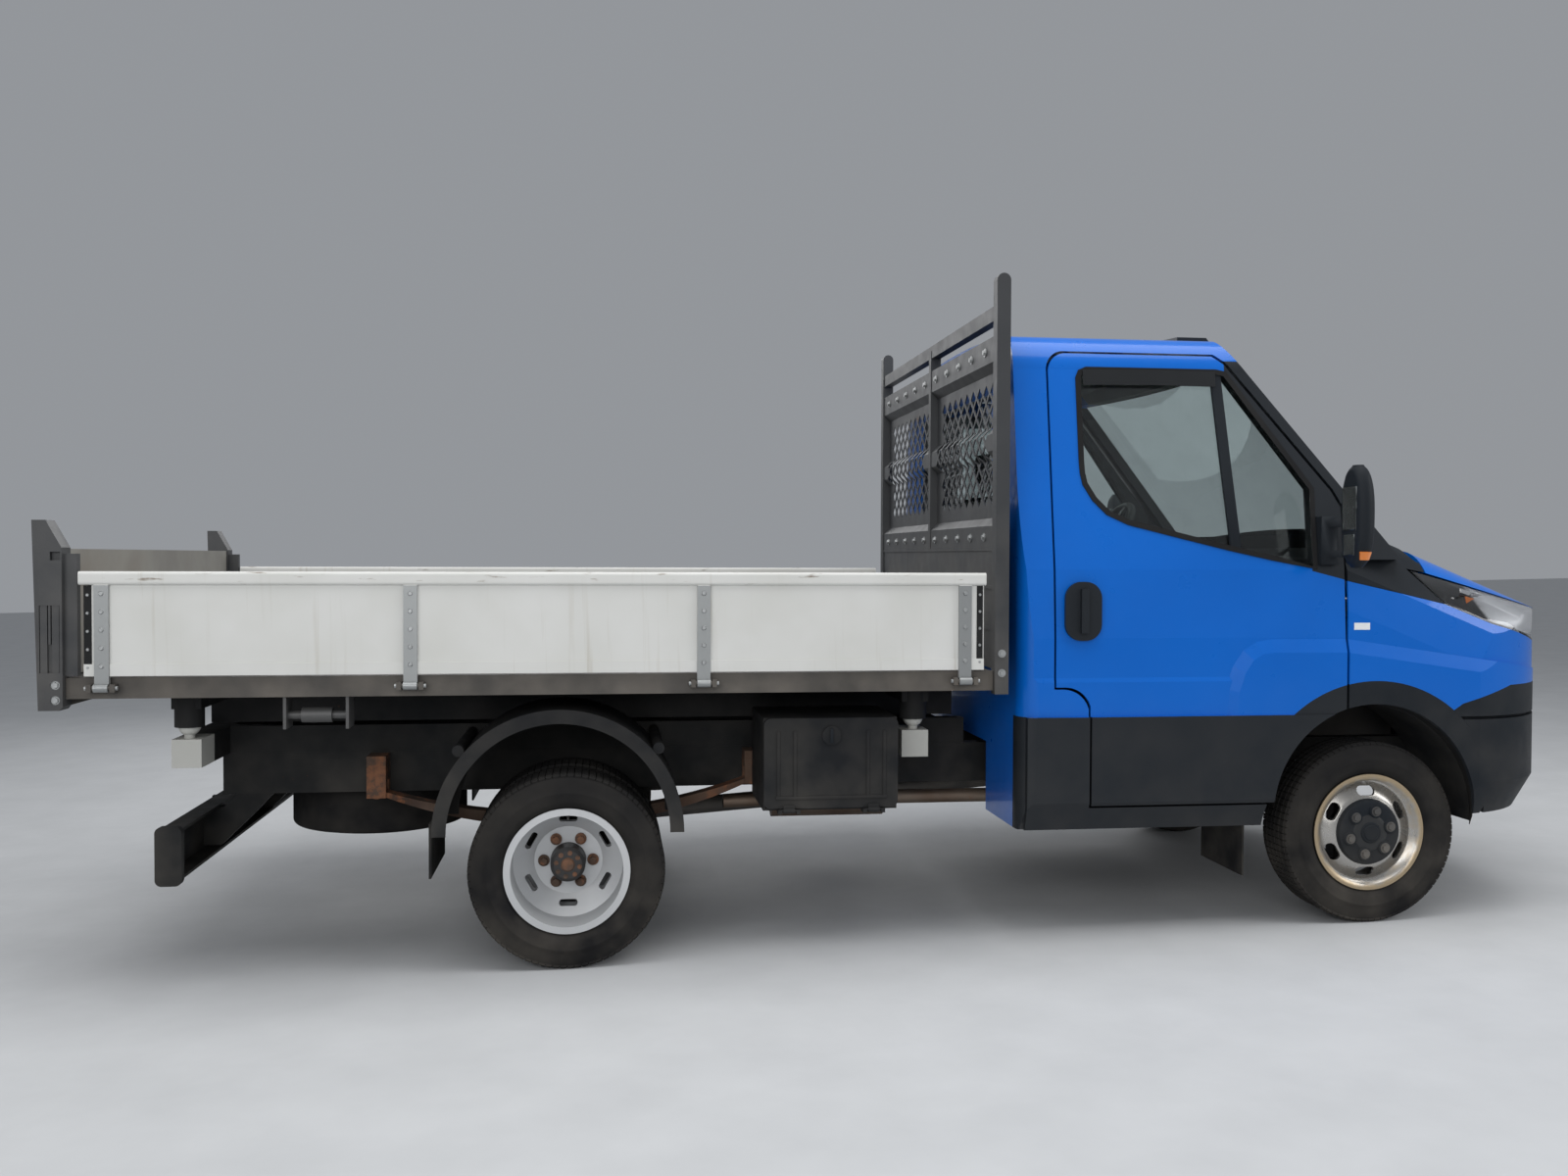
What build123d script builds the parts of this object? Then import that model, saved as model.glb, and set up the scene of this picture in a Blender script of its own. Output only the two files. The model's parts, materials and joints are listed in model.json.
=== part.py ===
"""A light three-way tipper truck: single cab, twin rear wheels, open bed.

The truck is drawn level, with x forward from the rear axle, y to the left and z up from the
ground under the rear wheels. The cab and nose are drawn with x forward from the front axle and
then set on the wheelbase. Standing empty the truck leans nose-down, so every solid is turned
about the rear axle and slid along until the middle of the truck is over the origin.
"""
from build123d import *
from math import cos, radians, sin, sqrt, tan
import os

# Stance and wheels
WHEELBASE = 3000.0
RAKE_DEG = 1.25
TYRE_R = 343.0
TYRE_W = 196.0
RIM_SEAT_R = 203.0
RIM_FLANGE_R = 220.0
RIM_HALF_W = 86.0
RIM_WALL = 7.0
FRONT_WHEEL_Y = 862.0
REAR_WHEEL_Y = 771.0
TWIN_SPACING = 230.0
VENT_COUNT = 6
VENT_LONG = 66.0
VENT_HIGH = 22.0
VENT_R = 152.0
STEER_DEG = 36.0
KINGPIN_Y = 720.0
KINGPIN_R = 16.0
SPINDLE_R = 30.0
STUB_R = 45.0
HUB_R = 62.0
RUN_FIT = 0.1
SEAT_FIT = 0.3
FRONT_AXLE_Z = TYRE_R + WHEELBASE * tan(radians(RAKE_DEG))

# Cab and nose, x from the front axle
NOSE = 985.0
CAB_BACK = -1378.0
CAB_HALF = 990.0
CAB_BOTTOM = 450.0
CAB_WALL = 45.0
SILL_PROUD = 4.0
SILL_CREASE_Z = 1006.0
TUNNEL_HALF = 540.0
TUNNEL_TOP = 720.0
BELT_Z = 1400.0
ROOF_EDGE_Z = 2278.0
ROOF_TOP = 2310.0
VISOR_THICK = 22.0
VISOR_BACK = -648.0
VISOR_Z = 2262.0
VISOR_HALF = 640.0
BULKHEAD_X = -120.0
SCREEN_X = 204.0
SCREEN_Z = 1500.0
SCREEN_BOW = 162.0
SCREEN_LEAN = 517.0 / 600.0
DOOR_GAP = 8.0
DOOR_REAR = -1245.0
DOOR_FRONT = -128.0
DOOR_BOTTOM = 540.0
DOOR_TOP = 2203.0
DOOR_STEP_X = -1115.0
DOOR_THICK = 62.0
DOOR_SKIN = 14.0
DOOR_HEM = 7.0
DOOR_HINGE_X = DOOR_FRONT - 60.0
DOOR_HINGE_Y = CAB_HALF - 18.0
DOOR_HINGE_ZS = (885.0, 1072.0)
DOOR_PIN_R = 8.0
FLARE = 14.0
FLARE_SLOPE = 50.0
FLARE_Z = 1144.0
FLARE_FALL = 0.144
ARCH_X = -10.0
ARCH_Z = 497.0
ARCH_R = 403.0
TRIM_R = 490.0
LINER_R = 440.0
LINER_Z = 450.0
LINER_THICK = 5.0
CLAD_TOP = 864.0
CLAD_PROUD = 16.0
BONNET_REAR = 250.0
BONNET_HINGE_X = 262.0
BONNET_HINGE_Z = 1482.0
BONNET_PIN_R = 8.0
BONNET_THICK = 24.0
BONNET_SWEEP_R = 56.0
GUTTER_WALL = 6.0
CROWN_X = 130.0
CROWN_Z = 1580.0
NOSE_SLOPE = 0.404
NOSE_TOP = CROWN_Z - (NOSE - CROWN_X) * NOSE_SLOPE
BUMPER_TOP = 964.0
BUMPER_BOTTOM = 480.0
BUMPER_SEAM_Z = 838.0
CHIN_BACK = 80.0
CHIN_RISE = 120.0
GRILLE_HALF = 540.0
CAB_REAR = WHEELBASE + CAB_BACK
NOSE_X = WHEELBASE + NOSE

# Frame, subframe and running gear
RAIL_Y = 430.0
RAIL_FLANGE = 65.0
RAIL_WALL = 7.0
RAIL_BOTTOM = 545.0
RAIL_TOP = 700.0
RAIL_REAR = -1290.0
RAIL_NOSE = 650.0
RAIL_FRONT = WHEELBASE + RAIL_NOSE
CROSSMEMBERS = (-1240.0, -780.0, 110.0, CAB_REAR - 322.0, WHEELBASE - 950.0, WHEELBASE + 560.0)
CROSS_INSET = 12.0
SPRING_Y0 = 462.0
SPRING_Y1 = 532.0
SPRING_REAR_X = -715.0
SPRING_REAR_Z = 560.0
SPRING_FRONT_X = 700.0
SPRING_FRONT_Z = 590.0
SPRING_PAD_Z = 418.0
SPARE_X = -780.0
SPARE_Z = 455.0
SHAFT_REAR = Vector(186, 0, 366)
SHAFT_FRONT = Vector(WHEELBASE - 730, 0, 520)
SHAFT_WAY = (SHAFT_FRONT - SHAFT_REAR).normalized()
PIPE_Y = -330.0
PIPE_Z = 470.0
BAR_HALF = 915.0
BAR_X = -1370.0
TOW_X = -1410.0
TOW_Z = 430.0
TOW_R = 20.0
TOW_THICK = 28.0

# Load bed
BED_HALF = 1010.0
BED_REAR = -1631.0
BED_FRONT = CAB_REAR - 110.0
TAIL_X = -1724.0
FLOOR_TOP = 1036.0
FLOOR_THICK = 6.0
RAVE_BOTTOM = 966.0
RAVE_WIDE = 60.0
BEARER_COUNT = 9
SIDE_BOTTOM = 1042.0
SIDE_TOP = 1388.0
SIDE_IN = 992.0
SIDE_OUT = 1022.0
SIDE_REAR = BED_REAR + 48.0
SIDE_FRONT = BED_FRONT - 32.0
STRAPS = (SIDE_REAR + 71.0, SIDE_REAR + 1061.0, SIDE_FRONT - 1008.0, SIDE_FRONT - 76.0)
STRAP_WIDE = 46.0
STRAP_OUT = 1033.0
SIDE_HINGE_Y = 1037.0
SIDE_HINGE_Z = 1003.0
SIDE_PIN_R = 8.0
POST_IN = 958.0
POST_OUT = 1036.0
POST_TOP = 1556.0
POST_FOOT = 930.0
GATE_OUT = -1662.0
GATE_IN = -1637.0
GATE_TOP = 1462.0
GATE_HALF = 950.0
GATE_PIN_X = -1650.0
GATE_PIN_Z = 1440.0
GATE_PIN_R = 12.0
HEAD_X0 = BED_FRONT + 1.0
HEAD_X1 = HEAD_X0 + 50.0
HEAD_TOP = 2455.0
HEAD_IN = 985.0
HEAD_OUT = 1035.0
POST_PROUD = 108.0
RAIL_HEAD_TOP = HEAD_TOP - POST_PROUD
BOARD_TOP = 1480.0
MESH_DROP = 107.0
MESH_TOP = RAIL_HEAD_TOP - MESH_DROP
MESH_SHEET = 4.0
MESH_COLUMNS = 9
MESH_ROWS = 6

# Tipping joints and cylinder
SUBFRAME_TOP = 800.0
SUBFRAME_FRONT = BED_FRONT + 48.0
BALL_R = 38.0
BALL_Y = 760.0
BALL_Z = 846.0
REAR_BALL_X = -1314.0
FRONT_BALL_X = BED_FRONT - 236.0
BALL_NECK_R = 18.0
PIVOT_TUBE = 100.0
BEAM_TAIL = 20.0
RAM_X = 330.0
RAM_PIVOT_Z = 760.0
RAM_BOTTOM_Z = 470.0
RAM_TOP_Z = 890.0
RAM_RADII = (80.0, 68.0, 57.0, 46.0, 35.0)
RAM_PIN_R = 22.0
TIP_DEG = 45.0

# Mudguards, toolbox, tank and muffler, placed between the rear wheel and the cab
GUARD_X = -27.0
GUARD_Z = 475.0
GUARD_R = 435.0
SADDLE_X = (GUARD_X + GUARD_R + CAB_REAR) / 2
BOX_X0 = SADDLE_X - 322.0
BOX_X1 = SADDLE_X + 165.0
BOX_IN = 552.0
BOX_OUT = 925.0
BOX_Z0 = 533.0
BOX_Z1 = 866.0
BOX_WALL = 8.0
LID_IN = 931.0
LID_OUT = 949.0
LID_HINGE_Y = 957.0
LID_HINGE_Z = 536.0
LID_PIN_R = 5.0
TANK_X = SADDLE_X + 45.0
MUFFLER_X = SADDLE_X + 3.0


def leaned_x(x, z):
    """How far forward a level point lies once the truck leans."""
    lean = radians(RAKE_DEG)
    return x * cos(lean) + (z - TYRE_R) * sin(lean)


MIDDLE_X = (leaned_x(NOSE_X, NOSE_TOP) + leaned_x(TAIL_X, POST_TOP)) / 2


def block(x0, x1, y0, y1, z0, z1):
    """A box between two corners."""
    middle = ((x0 + x1) / 2, (y0 + y1) / 2, (z0 + z1) / 2)
    return Pos(*middle) * Box(abs(x1 - x0), abs(y1 - y0), abs(z1 - z0))


def outline_wire(points, place):
    """A closed outline of lines and arcs; an arc is written as a pair (way point, end point)."""
    edges = []
    last = points[0]
    for item in list(points[1:]) + [points[0]]:
        arc = isinstance(item[0], tuple)
        end = item[1] if arc else item
        if arc:
            edges.append(Edge.make_three_point_arc(place(*last), place(*item[0]), place(*end)))
        elif end != last:
            edges.append(Edge.make_line(place(*last), place(*end)))
        last = end
    return Wire(edges)


def prism(points, place, way):
    """An outline drawn out along a direction."""
    solid = Solid.extrude(Face(outline_wire(points, place)), Vector(*way))
    return solid if solid.volume > 0 else -solid


def side(points, y0, y1):
    """A side-view outline (x, z) drawn across the truck."""
    return prism(points, lambda x, z: (x, y0, z), (0, y1 - y0, 0))


def section(points, x0, x1, drop=0.0):
    """A front-view outline (y, z) drawn along the truck, falling by drop on the way."""
    return prism(points, lambda y, z: (x0, y, z), (x1 - x0, 0, -drop))


def plan(points, z0, z1):
    """A top-view outline (x, y) drawn upward."""
    return prism(points, lambda x, y: (x, y, z0), (0, 0, z1 - z0))


def rod(p, q, r):
    """A round bar from one point to another."""
    way = Vector(*q) - Vector(*p)
    return Solid.make_cylinder(r, way.length, Plane(origin=p, z_dir=way))


def cross_rod(x, z, y0, y1, r):
    """A round bar across the truck."""
    return rod((x, y0, z), (x, y1, z), r)


def turned(points, centre, outward):
    """An outline (outward, radius) turned about the cross axis through a centre."""
    x, y, z = centre
    wire = outline_wire(points, lambda a, r: (x, y + outward * a, z + r))
    return Solid.revolve(Face(wire), 360, Axis(centre, (0, 1, 0)))


def mirrored(shape):
    """The same piece on the other side of the truck."""
    return shape.mirror(Plane.XZ)


def pair(shape):
    """A piece on both sides."""
    return [shape, mirrored(shape)]


def fuse(shapes):
    """Pieces welded into one."""
    first, *rest = shapes
    return first.fuse(*rest) if rest else first


def cut(shape, tools):
    """A piece with other shapes taken out."""
    return shape.cut(*tools)


def stand(shape):
    """The level truck, leaned nose-down and slid over the origin."""
    leaned = shape.rotate(Axis((0, 0, TYRE_R), (0, 1, 0)), RAKE_DEG)
    return leaned.translate((-MIDDLE_X, 0, 0))


def tyre(centre, outward):
    """A smooth tyre; its tread is left to the picture."""
    half = TYRE_W / 2
    seat = RIM_SEAT_R + SEAT_FIT
    wall = RIM_FLANGE_R + 3
    return turned([
        (-66, seat), (66, seat), (76, wall), ((half, 268), (90, TYRE_R - 26)),
        ((86, TYRE_R - 8), (70, TYRE_R)), (-70, TYRE_R), ((-86, TYRE_R - 8), (-90, TYRE_R - 26)),
        ((-half, 268), (-76, wall))], centre, outward)


def barrel(centre, outward):
    """The round part of a rim, with its two flanges."""
    w, f, s = RIM_HALF_W, RIM_FLANGE_R, RIM_SEAT_R
    b = s - RIM_WALL
    lip = w - 7
    return turned([(-w, b), (-w, f), (-lip, f), (-lip, s), (lip, s), (lip, f), (w, f), (w, b)],
                  centre, outward)


def vents(centre, deep):
    """The ring of slots through a wheel disc."""
    slot = Box(VENT_LONG, deep, VENT_HIGH)
    slot = fillet(slot.edges().filter_by(Axis.Y), VENT_HIGH / 2 - 1)
    return [Pos(*centre) * Rot(0, 360 * k / VENT_COUNT, 0) * Pos(0, 0, VENT_R) * slot
            for k in range(VENT_COUNT)]


def bulged_disc(centre, outward):
    """A wheel disc that bulges outward, with its ring of slots."""
    b = RIM_SEAT_R - RIM_WALL + 2
    disc = turned([(24, b), (62, 128), (62, 0), (72, 0), (72, 132), (34, b)], centre, outward)
    return cut(disc, vents(centre, 300))


def front_rim(sign):
    """A front rim: its disc bulges outward, with the hub behind it."""
    centre = (WHEELBASE, sign * FRONT_WHEEL_Y, FRONT_AXLE_Z)
    bore = SPINDLE_R + RUN_FIT
    hub = turned([(-92, bore), (-92, HUB_R), (64, HUB_R), (64, bore)], centre, sign)
    cap = turned([(71, 0), (71, 104), (80, 100), (96, 60), (100, 0)], centre, sign)
    return fuse([barrel(centre, sign), bulged_disc(centre, sign), hub, cap])


def rear_rims(sign):
    """Twin rear rims bolted back to back on one hub, dished inward from the outside."""
    centre = (0, sign * REAR_WHEEL_Y, TYRE_R)
    half = TWIN_SPACING / 2
    b = RIM_SEAT_R - RIM_WALL + 2
    bore = STUB_R + RUN_FIT
    pieces = []
    for way in (1, -1):
        rim = (0, sign * (REAR_WHEEL_Y + way * half), TYRE_R)
        disc = turned([(1, 56), (1, 126), (46, b), (54, b), (10, 122), (10, 56)], centre, sign * way)
        pieces += [barrel(rim, sign), cut(disc, vents(centre, 400))]
    web = turned([(-2, 56), (-2, 110), (2, 110), (2, 56)], centre, sign)
    hub = turned([(-38, bore), (-38, HUB_R), (88, HUB_R), (96, 50), (96, 0), (30, 0), (30, bore)],
                 centre, sign)
    return fuse(pieces + [web, hub])


def wheels():
    """All running wheels and the spare."""
    nodes = {}
    for name, sign in (("right", -1), ("left", 1)):
        front = (WHEELBASE, sign * FRONT_WHEEL_Y, FRONT_AXLE_Z)
        nodes[f"front_tyre_{name}"] = [tyre(front, sign)]
        nodes[f"front_rim_{name}"] = [front_rim(sign)]
        half = TWIN_SPACING / 2
        nodes[f"rear_tyres_{name}"] = [tyre((0, sign * (REAR_WHEEL_Y + way * half), TYRE_R), sign)
                                       for way in (1, -1)]
        nodes[f"rear_rims_{name}"] = [rear_rims(sign)]
    flat = Pos(SPARE_X, 0, SPARE_Z) * Rot(90, 0, 0)
    rim = flat * fuse([barrel((0, 0, 0), 1), bulged_disc((0, 0, 0), 1)])
    hanger = rod((SPARE_X, 0, SPARE_Z + 60), (SPARE_X, 0, RAIL_BOTTOM + CROSS_INSET - SEAT_FIT), 24)
    nodes["spare_wheel"] = [flat * tyre((0, 0, 0), 1), fuse([rim, hanger])]
    return nodes


def running_gear():
    """Axles, springs, knuckles, engine, shaft, exhaust and tank."""
    nodes = {}
    x, z = WHEELBASE, FRONT_AXLE_Z
    knuckle = fuse([
        block(x - 32, x + 32, -748, -692, z - 139, z + 139), cross_rod(x, z, -740, -915, SPINDLE_R),
        block(x - 150, x - 30, -715, -695, z - 66, z - 36)])
    knuckle = cut(knuckle, [rod((x, -KINGPIN_Y, z - 200), (x, -KINGPIN_Y, z + 200), KINGPIN_R + RUN_FIT)])
    nodes["knuckle_right"] = [knuckle]
    nodes["knuckle_left"] = [mirrored(knuckle)]

    suspension = [block(x - 70, x + 70, -460, 460, z - 20, z + 90)]
    for sign in (-1, 1):
        y0, y1 = sign * 436, sign * 738
        suspension += [
            block(x - 50, x + 50, y0, sign * 476, z - 175, z + 175),
            rod((x, sign * KINGPIN_Y, z - 160), (x, sign * KINGPIN_Y, z + 160), KINGPIN_R),
            block(x - 60, x + 60, sign * 372, sign * 424, z + 85, RAIL_BOTTOM - SEAT_FIT),
            block(x - 40, x + 40, y0, y1, z + 145, z + 175),
            block(x - 40, x + 40, y0, y1, z - 175, z - 145)]
    nodes["front_suspension"] = [fuse(suspension)]

    pinion = rod(SHAFT_REAR - SHAFT_WAY * SEAT_FIT, SHAFT_REAR - SHAFT_WAY * 160, 55)
    axle = [cross_rod(0, TYRE_R, -640, 640, 58), cross_rod(0, TYRE_R, -792, 792, STUB_R),
            Pos(10, 0, TYRE_R) * Sphere(140), pinion]
    for sign in (-1, 1):
        axle.append(cross_rod(0, TYRE_R, sign * 592, sign * 650, 150))
        axle.append(block(-70, 70, sign * SPRING_Y0, sign * SPRING_Y1, TYRE_R + 20, SPRING_PAD_Z - 0.8))
    nodes["rear_axle"] = [fuse(axle)]

    ends = ((SPRING_REAR_X, SPRING_REAR_Z), (SPRING_FRONT_X, SPRING_FRONT_Z))
    (xr, zr), (xf, zf) = ends
    leaf = side([(xr, zr - 8), ((0, SPRING_PAD_Z), (xf, zf - 8)), (xf, zf + 8),
                 ((0, SPRING_PAD_Z + 48), (xr, zr + 8))], -SPRING_Y1, -SPRING_Y0)
    leaf = fuse([leaf] + [cross_rod(x, z, -SPRING_Y1, -SPRING_Y0, 28) for x, z in ends])
    springs = pair(leaf)
    for x, z in ends:
        plate = block(x - 35, x + 35, -SPRING_Y1 - 9, -RAIL_Y - SEAT_FIT, z - 23, RAIL_TOP - 6)
        room = block(x - 100, x + 100, -SPRING_Y1 - SEAT_FIT, -SPRING_Y0 + SEAT_FIT, z - 60, z + 40)
        springs += pair(cut(plate, [room]))
    nodes["leaf_springs"] = springs

    x = WHEELBASE
    reach = RAIL_Y - RAIL_FLANGE - SEAT_FIT
    flange = rod(SHAFT_FRONT + SHAFT_WAY * SEAT_FIT, SHAFT_FRONT + SHAFT_WAY * 60, 55)
    power = [block(x - 100, x + 500, -260, 260, 540, 1180), block(x - 700, x - 95, -160, 160, 430, 690),
             block(x + 200, x + 320, -reach, reach, 610, 680), flange]
    nodes["driveline"] = [fuse(power), rod(SHAFT_REAR, SHAFT_FRONT, 36)]

    x0, x1 = MUFFLER_X - 226, MUFFLER_X + 226
    pipe = [rod((x0, PIPE_Y, PIPE_Z), (x1, PIPE_Y, PIPE_Z), 70),
            rod((x1 - 4, PIPE_Y, PIPE_Z), (WHEELBASE - 400, PIPE_Y, PIPE_Z), 28),
            rod((x0 + 4, PIPE_Y, PIPE_Z), (x0 - 192, PIPE_Y, PIPE_Z - 5), 28)]
    for x in (MUFFLER_X - 158, MUFFLER_X + 162):
        pipe.append(block(x - 10, x + 10, PIPE_Y - 70, PIPE_Y - 40, PIPE_Z + 25, RAIL_BOTTOM - SEAT_FIT))
    nodes["exhaust"] = [fuse(pipe)]

    tank = block(TANK_X - 270, TANK_X + 270, BOX_IN, 900, 430, 690)
    tank = fillet(tank.edges().filter_by(Axis.X), 60)
    straps = [block(TANK_X + d - 25, TANK_X + d + 25, RAIL_Y + SEAT_FIT, BOX_IN + 10, 590, 650)
              for d in (-180, 180)]
    nodes["fuel_tank"] = [fuse([tank] + straps)]
    return nodes


def channel(y, flange):
    """A channel-section rail outline, its web outward."""
    w, z0, z1 = RAIL_WALL, RAIL_BOTTOM, RAIL_TOP
    inner = y - flange
    return [(y, z0), (y, z1), (inner, z1), (inner, z1 - w), (y - w, z1 - w), (y - w, z0 + w),
            (inner, z0 + w), (inner, z0)]


def frame():
    """Rails, crossmembers, tipper subframe, underrun bar and lamps at the rear."""
    nodes = {}
    rail = section(channel(RAIL_Y, RAIL_FLANGE), RAIL_REAR, RAIL_FRONT)
    reach = RAIL_Y - RAIL_WALL - SEAT_FIT
    nodes["chassis_frame"] = pair(rail) + [
        block(x - 40, x + 40, -reach, reach, RAIL_BOTTOM + CROSS_INSET, RAIL_TOP - CROSS_INSET)
        for x in CROSSMEMBERS]

    z0 = RAIL_TOP + SEAT_FIT
    half = PIVOT_TUBE / 2
    pieces = [block(REAR_BALL_X - half, SUBFRAME_FRONT, sign * (RAIL_Y - RAIL_FLANGE), sign * RAIL_Y,
                    z0, SUBFRAME_TOP) for sign in (-1, 1)]
    for x in (REAR_BALL_X, FRONT_BALL_X):
        pieces.append(block(x - half, x + half, -BALL_Y - 40, BALL_Y + 40, z0, SUBFRAME_TOP))
        for y in (-BALL_Y, BALL_Y):
            pieces += [rod((x, y, SUBFRAME_TOP - 5), (x, y, BALL_Z), BALL_NECK_R),
                       Pos(x, y, BALL_Z) * Sphere(BALL_R)]
    z = RAM_PIVOT_Z
    pieces += [block(RAM_X - 42, RAM_X + 42, sign * 96, sign * 400, z - 40, z + 40) for sign in (-1, 1)]
    nodes["tipper_subframe"] = [cut(fuse(pieces), [cross_rod(RAM_X, z, -150, 150, RAM_PIN_R + RUN_FIT)])]

    bar = block(BAR_X, BAR_X + 70, -BAR_HALF, BAR_HALF, 335, 510)
    bar = cut(bar, [block(BAR_X + 6, BAR_X + 170, -BAR_HALF + 6, BAR_HALF - 6, 345, 500)])
    under = RAIL_BOTTOM - SEAT_FIT
    arm = side([(BAR_X + 1, 352), (BAR_X + 1, 496), (BAR_X + 80, 496), (BAR_X + 130, under),
                (BAR_X + 260, under), (BAR_X + 190, 470), (BAR_X + 70, 352)], -424, -376)
    eye = cut(block(TOW_X - 34, BAR_X + 4, -TOW_THICK / 2, TOW_THICK / 2, TOW_Z - 40, TOW_Z + 40),
              [cross_rod(TOW_X, TOW_Z, -TOW_THICK, TOW_THICK, TOW_R)])
    cap = block(BAR_X - 8, BAR_X + 80, -BAR_HALF - 30, -BAR_HALF - SEAT_FIT, 320, 522)
    cap = fillet(cap.edges().filter_by(Axis.Y), 22)
    nodes["underrun_bar"] = [fuse([bar, arm, mirrored(arm), eye])] + pair(cap)
    lamp = block(BAR_X - 16, BAR_X - SEAT_FIT, -890, -620, 362, 484)
    nodes["tail_lamps"] = pair(lamp)
    return nodes


def sector(centre, r0, r1, start, end):
    """A ring sector outline (x, z) between two angles, counted from forward and upward."""
    def at(r, deg):
        return (centre[0] + r * cos(radians(deg)), centre[1] + r * sin(radians(deg)))
    middle = (start + end) / 2
    return [at(r0, start), at(r1, start), (at(r1, middle), at(r1, end)), at(r0, end),
            (at(r0, middle), at(r0, start))]


def guards():
    """Mudguards, flaps, liners and the toolbox."""
    nodes = {}
    hub = (GUARD_X, GUARD_Z)
    shell = side(sector(hub, GUARD_R - 6, GUARD_R, 0, 180), -985, -545)
    lips = [side(sector(hub, GUARD_R - 49, GUARD_R - 1, 0, 180), y, y + 5) for y in (-985, -550)]
    tubes = [cross_rod(GUARD_X + way * 346, 768, -RAIL_Y - SEAT_FIT, -960, 20) for way in (-1, 1)]
    nodes["rear_mudguards"] = pair(fuse([shell] + lips + tubes))
    x = GUARD_X - GUARD_R - SEAT_FIT
    rear_flap = block(x - 8, x, -975, -560, 330, 520)
    front_flap = block(WHEELBASE - 510, WHEELBASE - 503, -955, -600, 258, CAB_BOTTOM - SEAT_FIT)
    nodes["mudflaps"] = pair(rear_flap) + pair(front_flap)
    liner = side(sector((WHEELBASE, LINER_Z), LINER_R, LINER_R + LINER_THICK, -2, 182), -900, -570)
    nodes["wheel_liners"] = pair(liner)

    w = BOX_WALL
    middle = (BOX_X0 + BOX_X1) / 2
    box = block(BOX_X0, BOX_X1, -BOX_OUT, -BOX_IN, BOX_Z0, BOX_Z1)
    box = cut(box, [block(BOX_X0 + w, BOX_X1 - w, -BOX_OUT - 1, -BOX_IN - w, BOX_Z0 + w, BOX_Z1 - w)])
    carry = [block(middle + d - 30, middle + d + 30, -BOX_IN - 2, -RAIL_Y - SEAT_FIT, 600, 660)
             for d in (-155, 155)]
    y, z = LID_HINGE_Y, LID_HINGE_Z
    lid = fillet(block(BOX_X0, BOX_X1, -LID_OUT, -LID_IN, BOX_Z0 + 10, BOX_Z1).edges().filter_by(Axis.Y), 24)
    ears, knuckles, bores = [], [], []
    for x in (BOX_X0 + 90, BOX_X1 - 90):
        ears += [block(x + way * 26, x + way * 40, -y - 10, -BOX_OUT + 2, z - 10, z + 4) for way in (-1, 1)]
        ears.append(rod((x - 30, -y, z), (x + 30, -y, z), LID_PIN_R))
        knuckles += [block(x - 20, x + 20, -y, -LID_IN - 7, z - 9, z + 20),
                     rod((x - 20, -y, z), (x + 20, -y, z), LID_PIN_R + 4)]
        bores.append(rod((x - 50, -y, z), (x + 50, -y, z), LID_PIN_R + RUN_FIT))
    nodes["toolbox"] = [fuse([box] + carry + ears)]
    latch = cross_rod(middle, BOX_Z1 - 62, -LID_OUT + 1, -LID_OUT - 7, 34)
    nodes["toolbox_lid"] = [fuse([cut(fuse([lid] + knuckles), bores), latch])]
    return nodes


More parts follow.
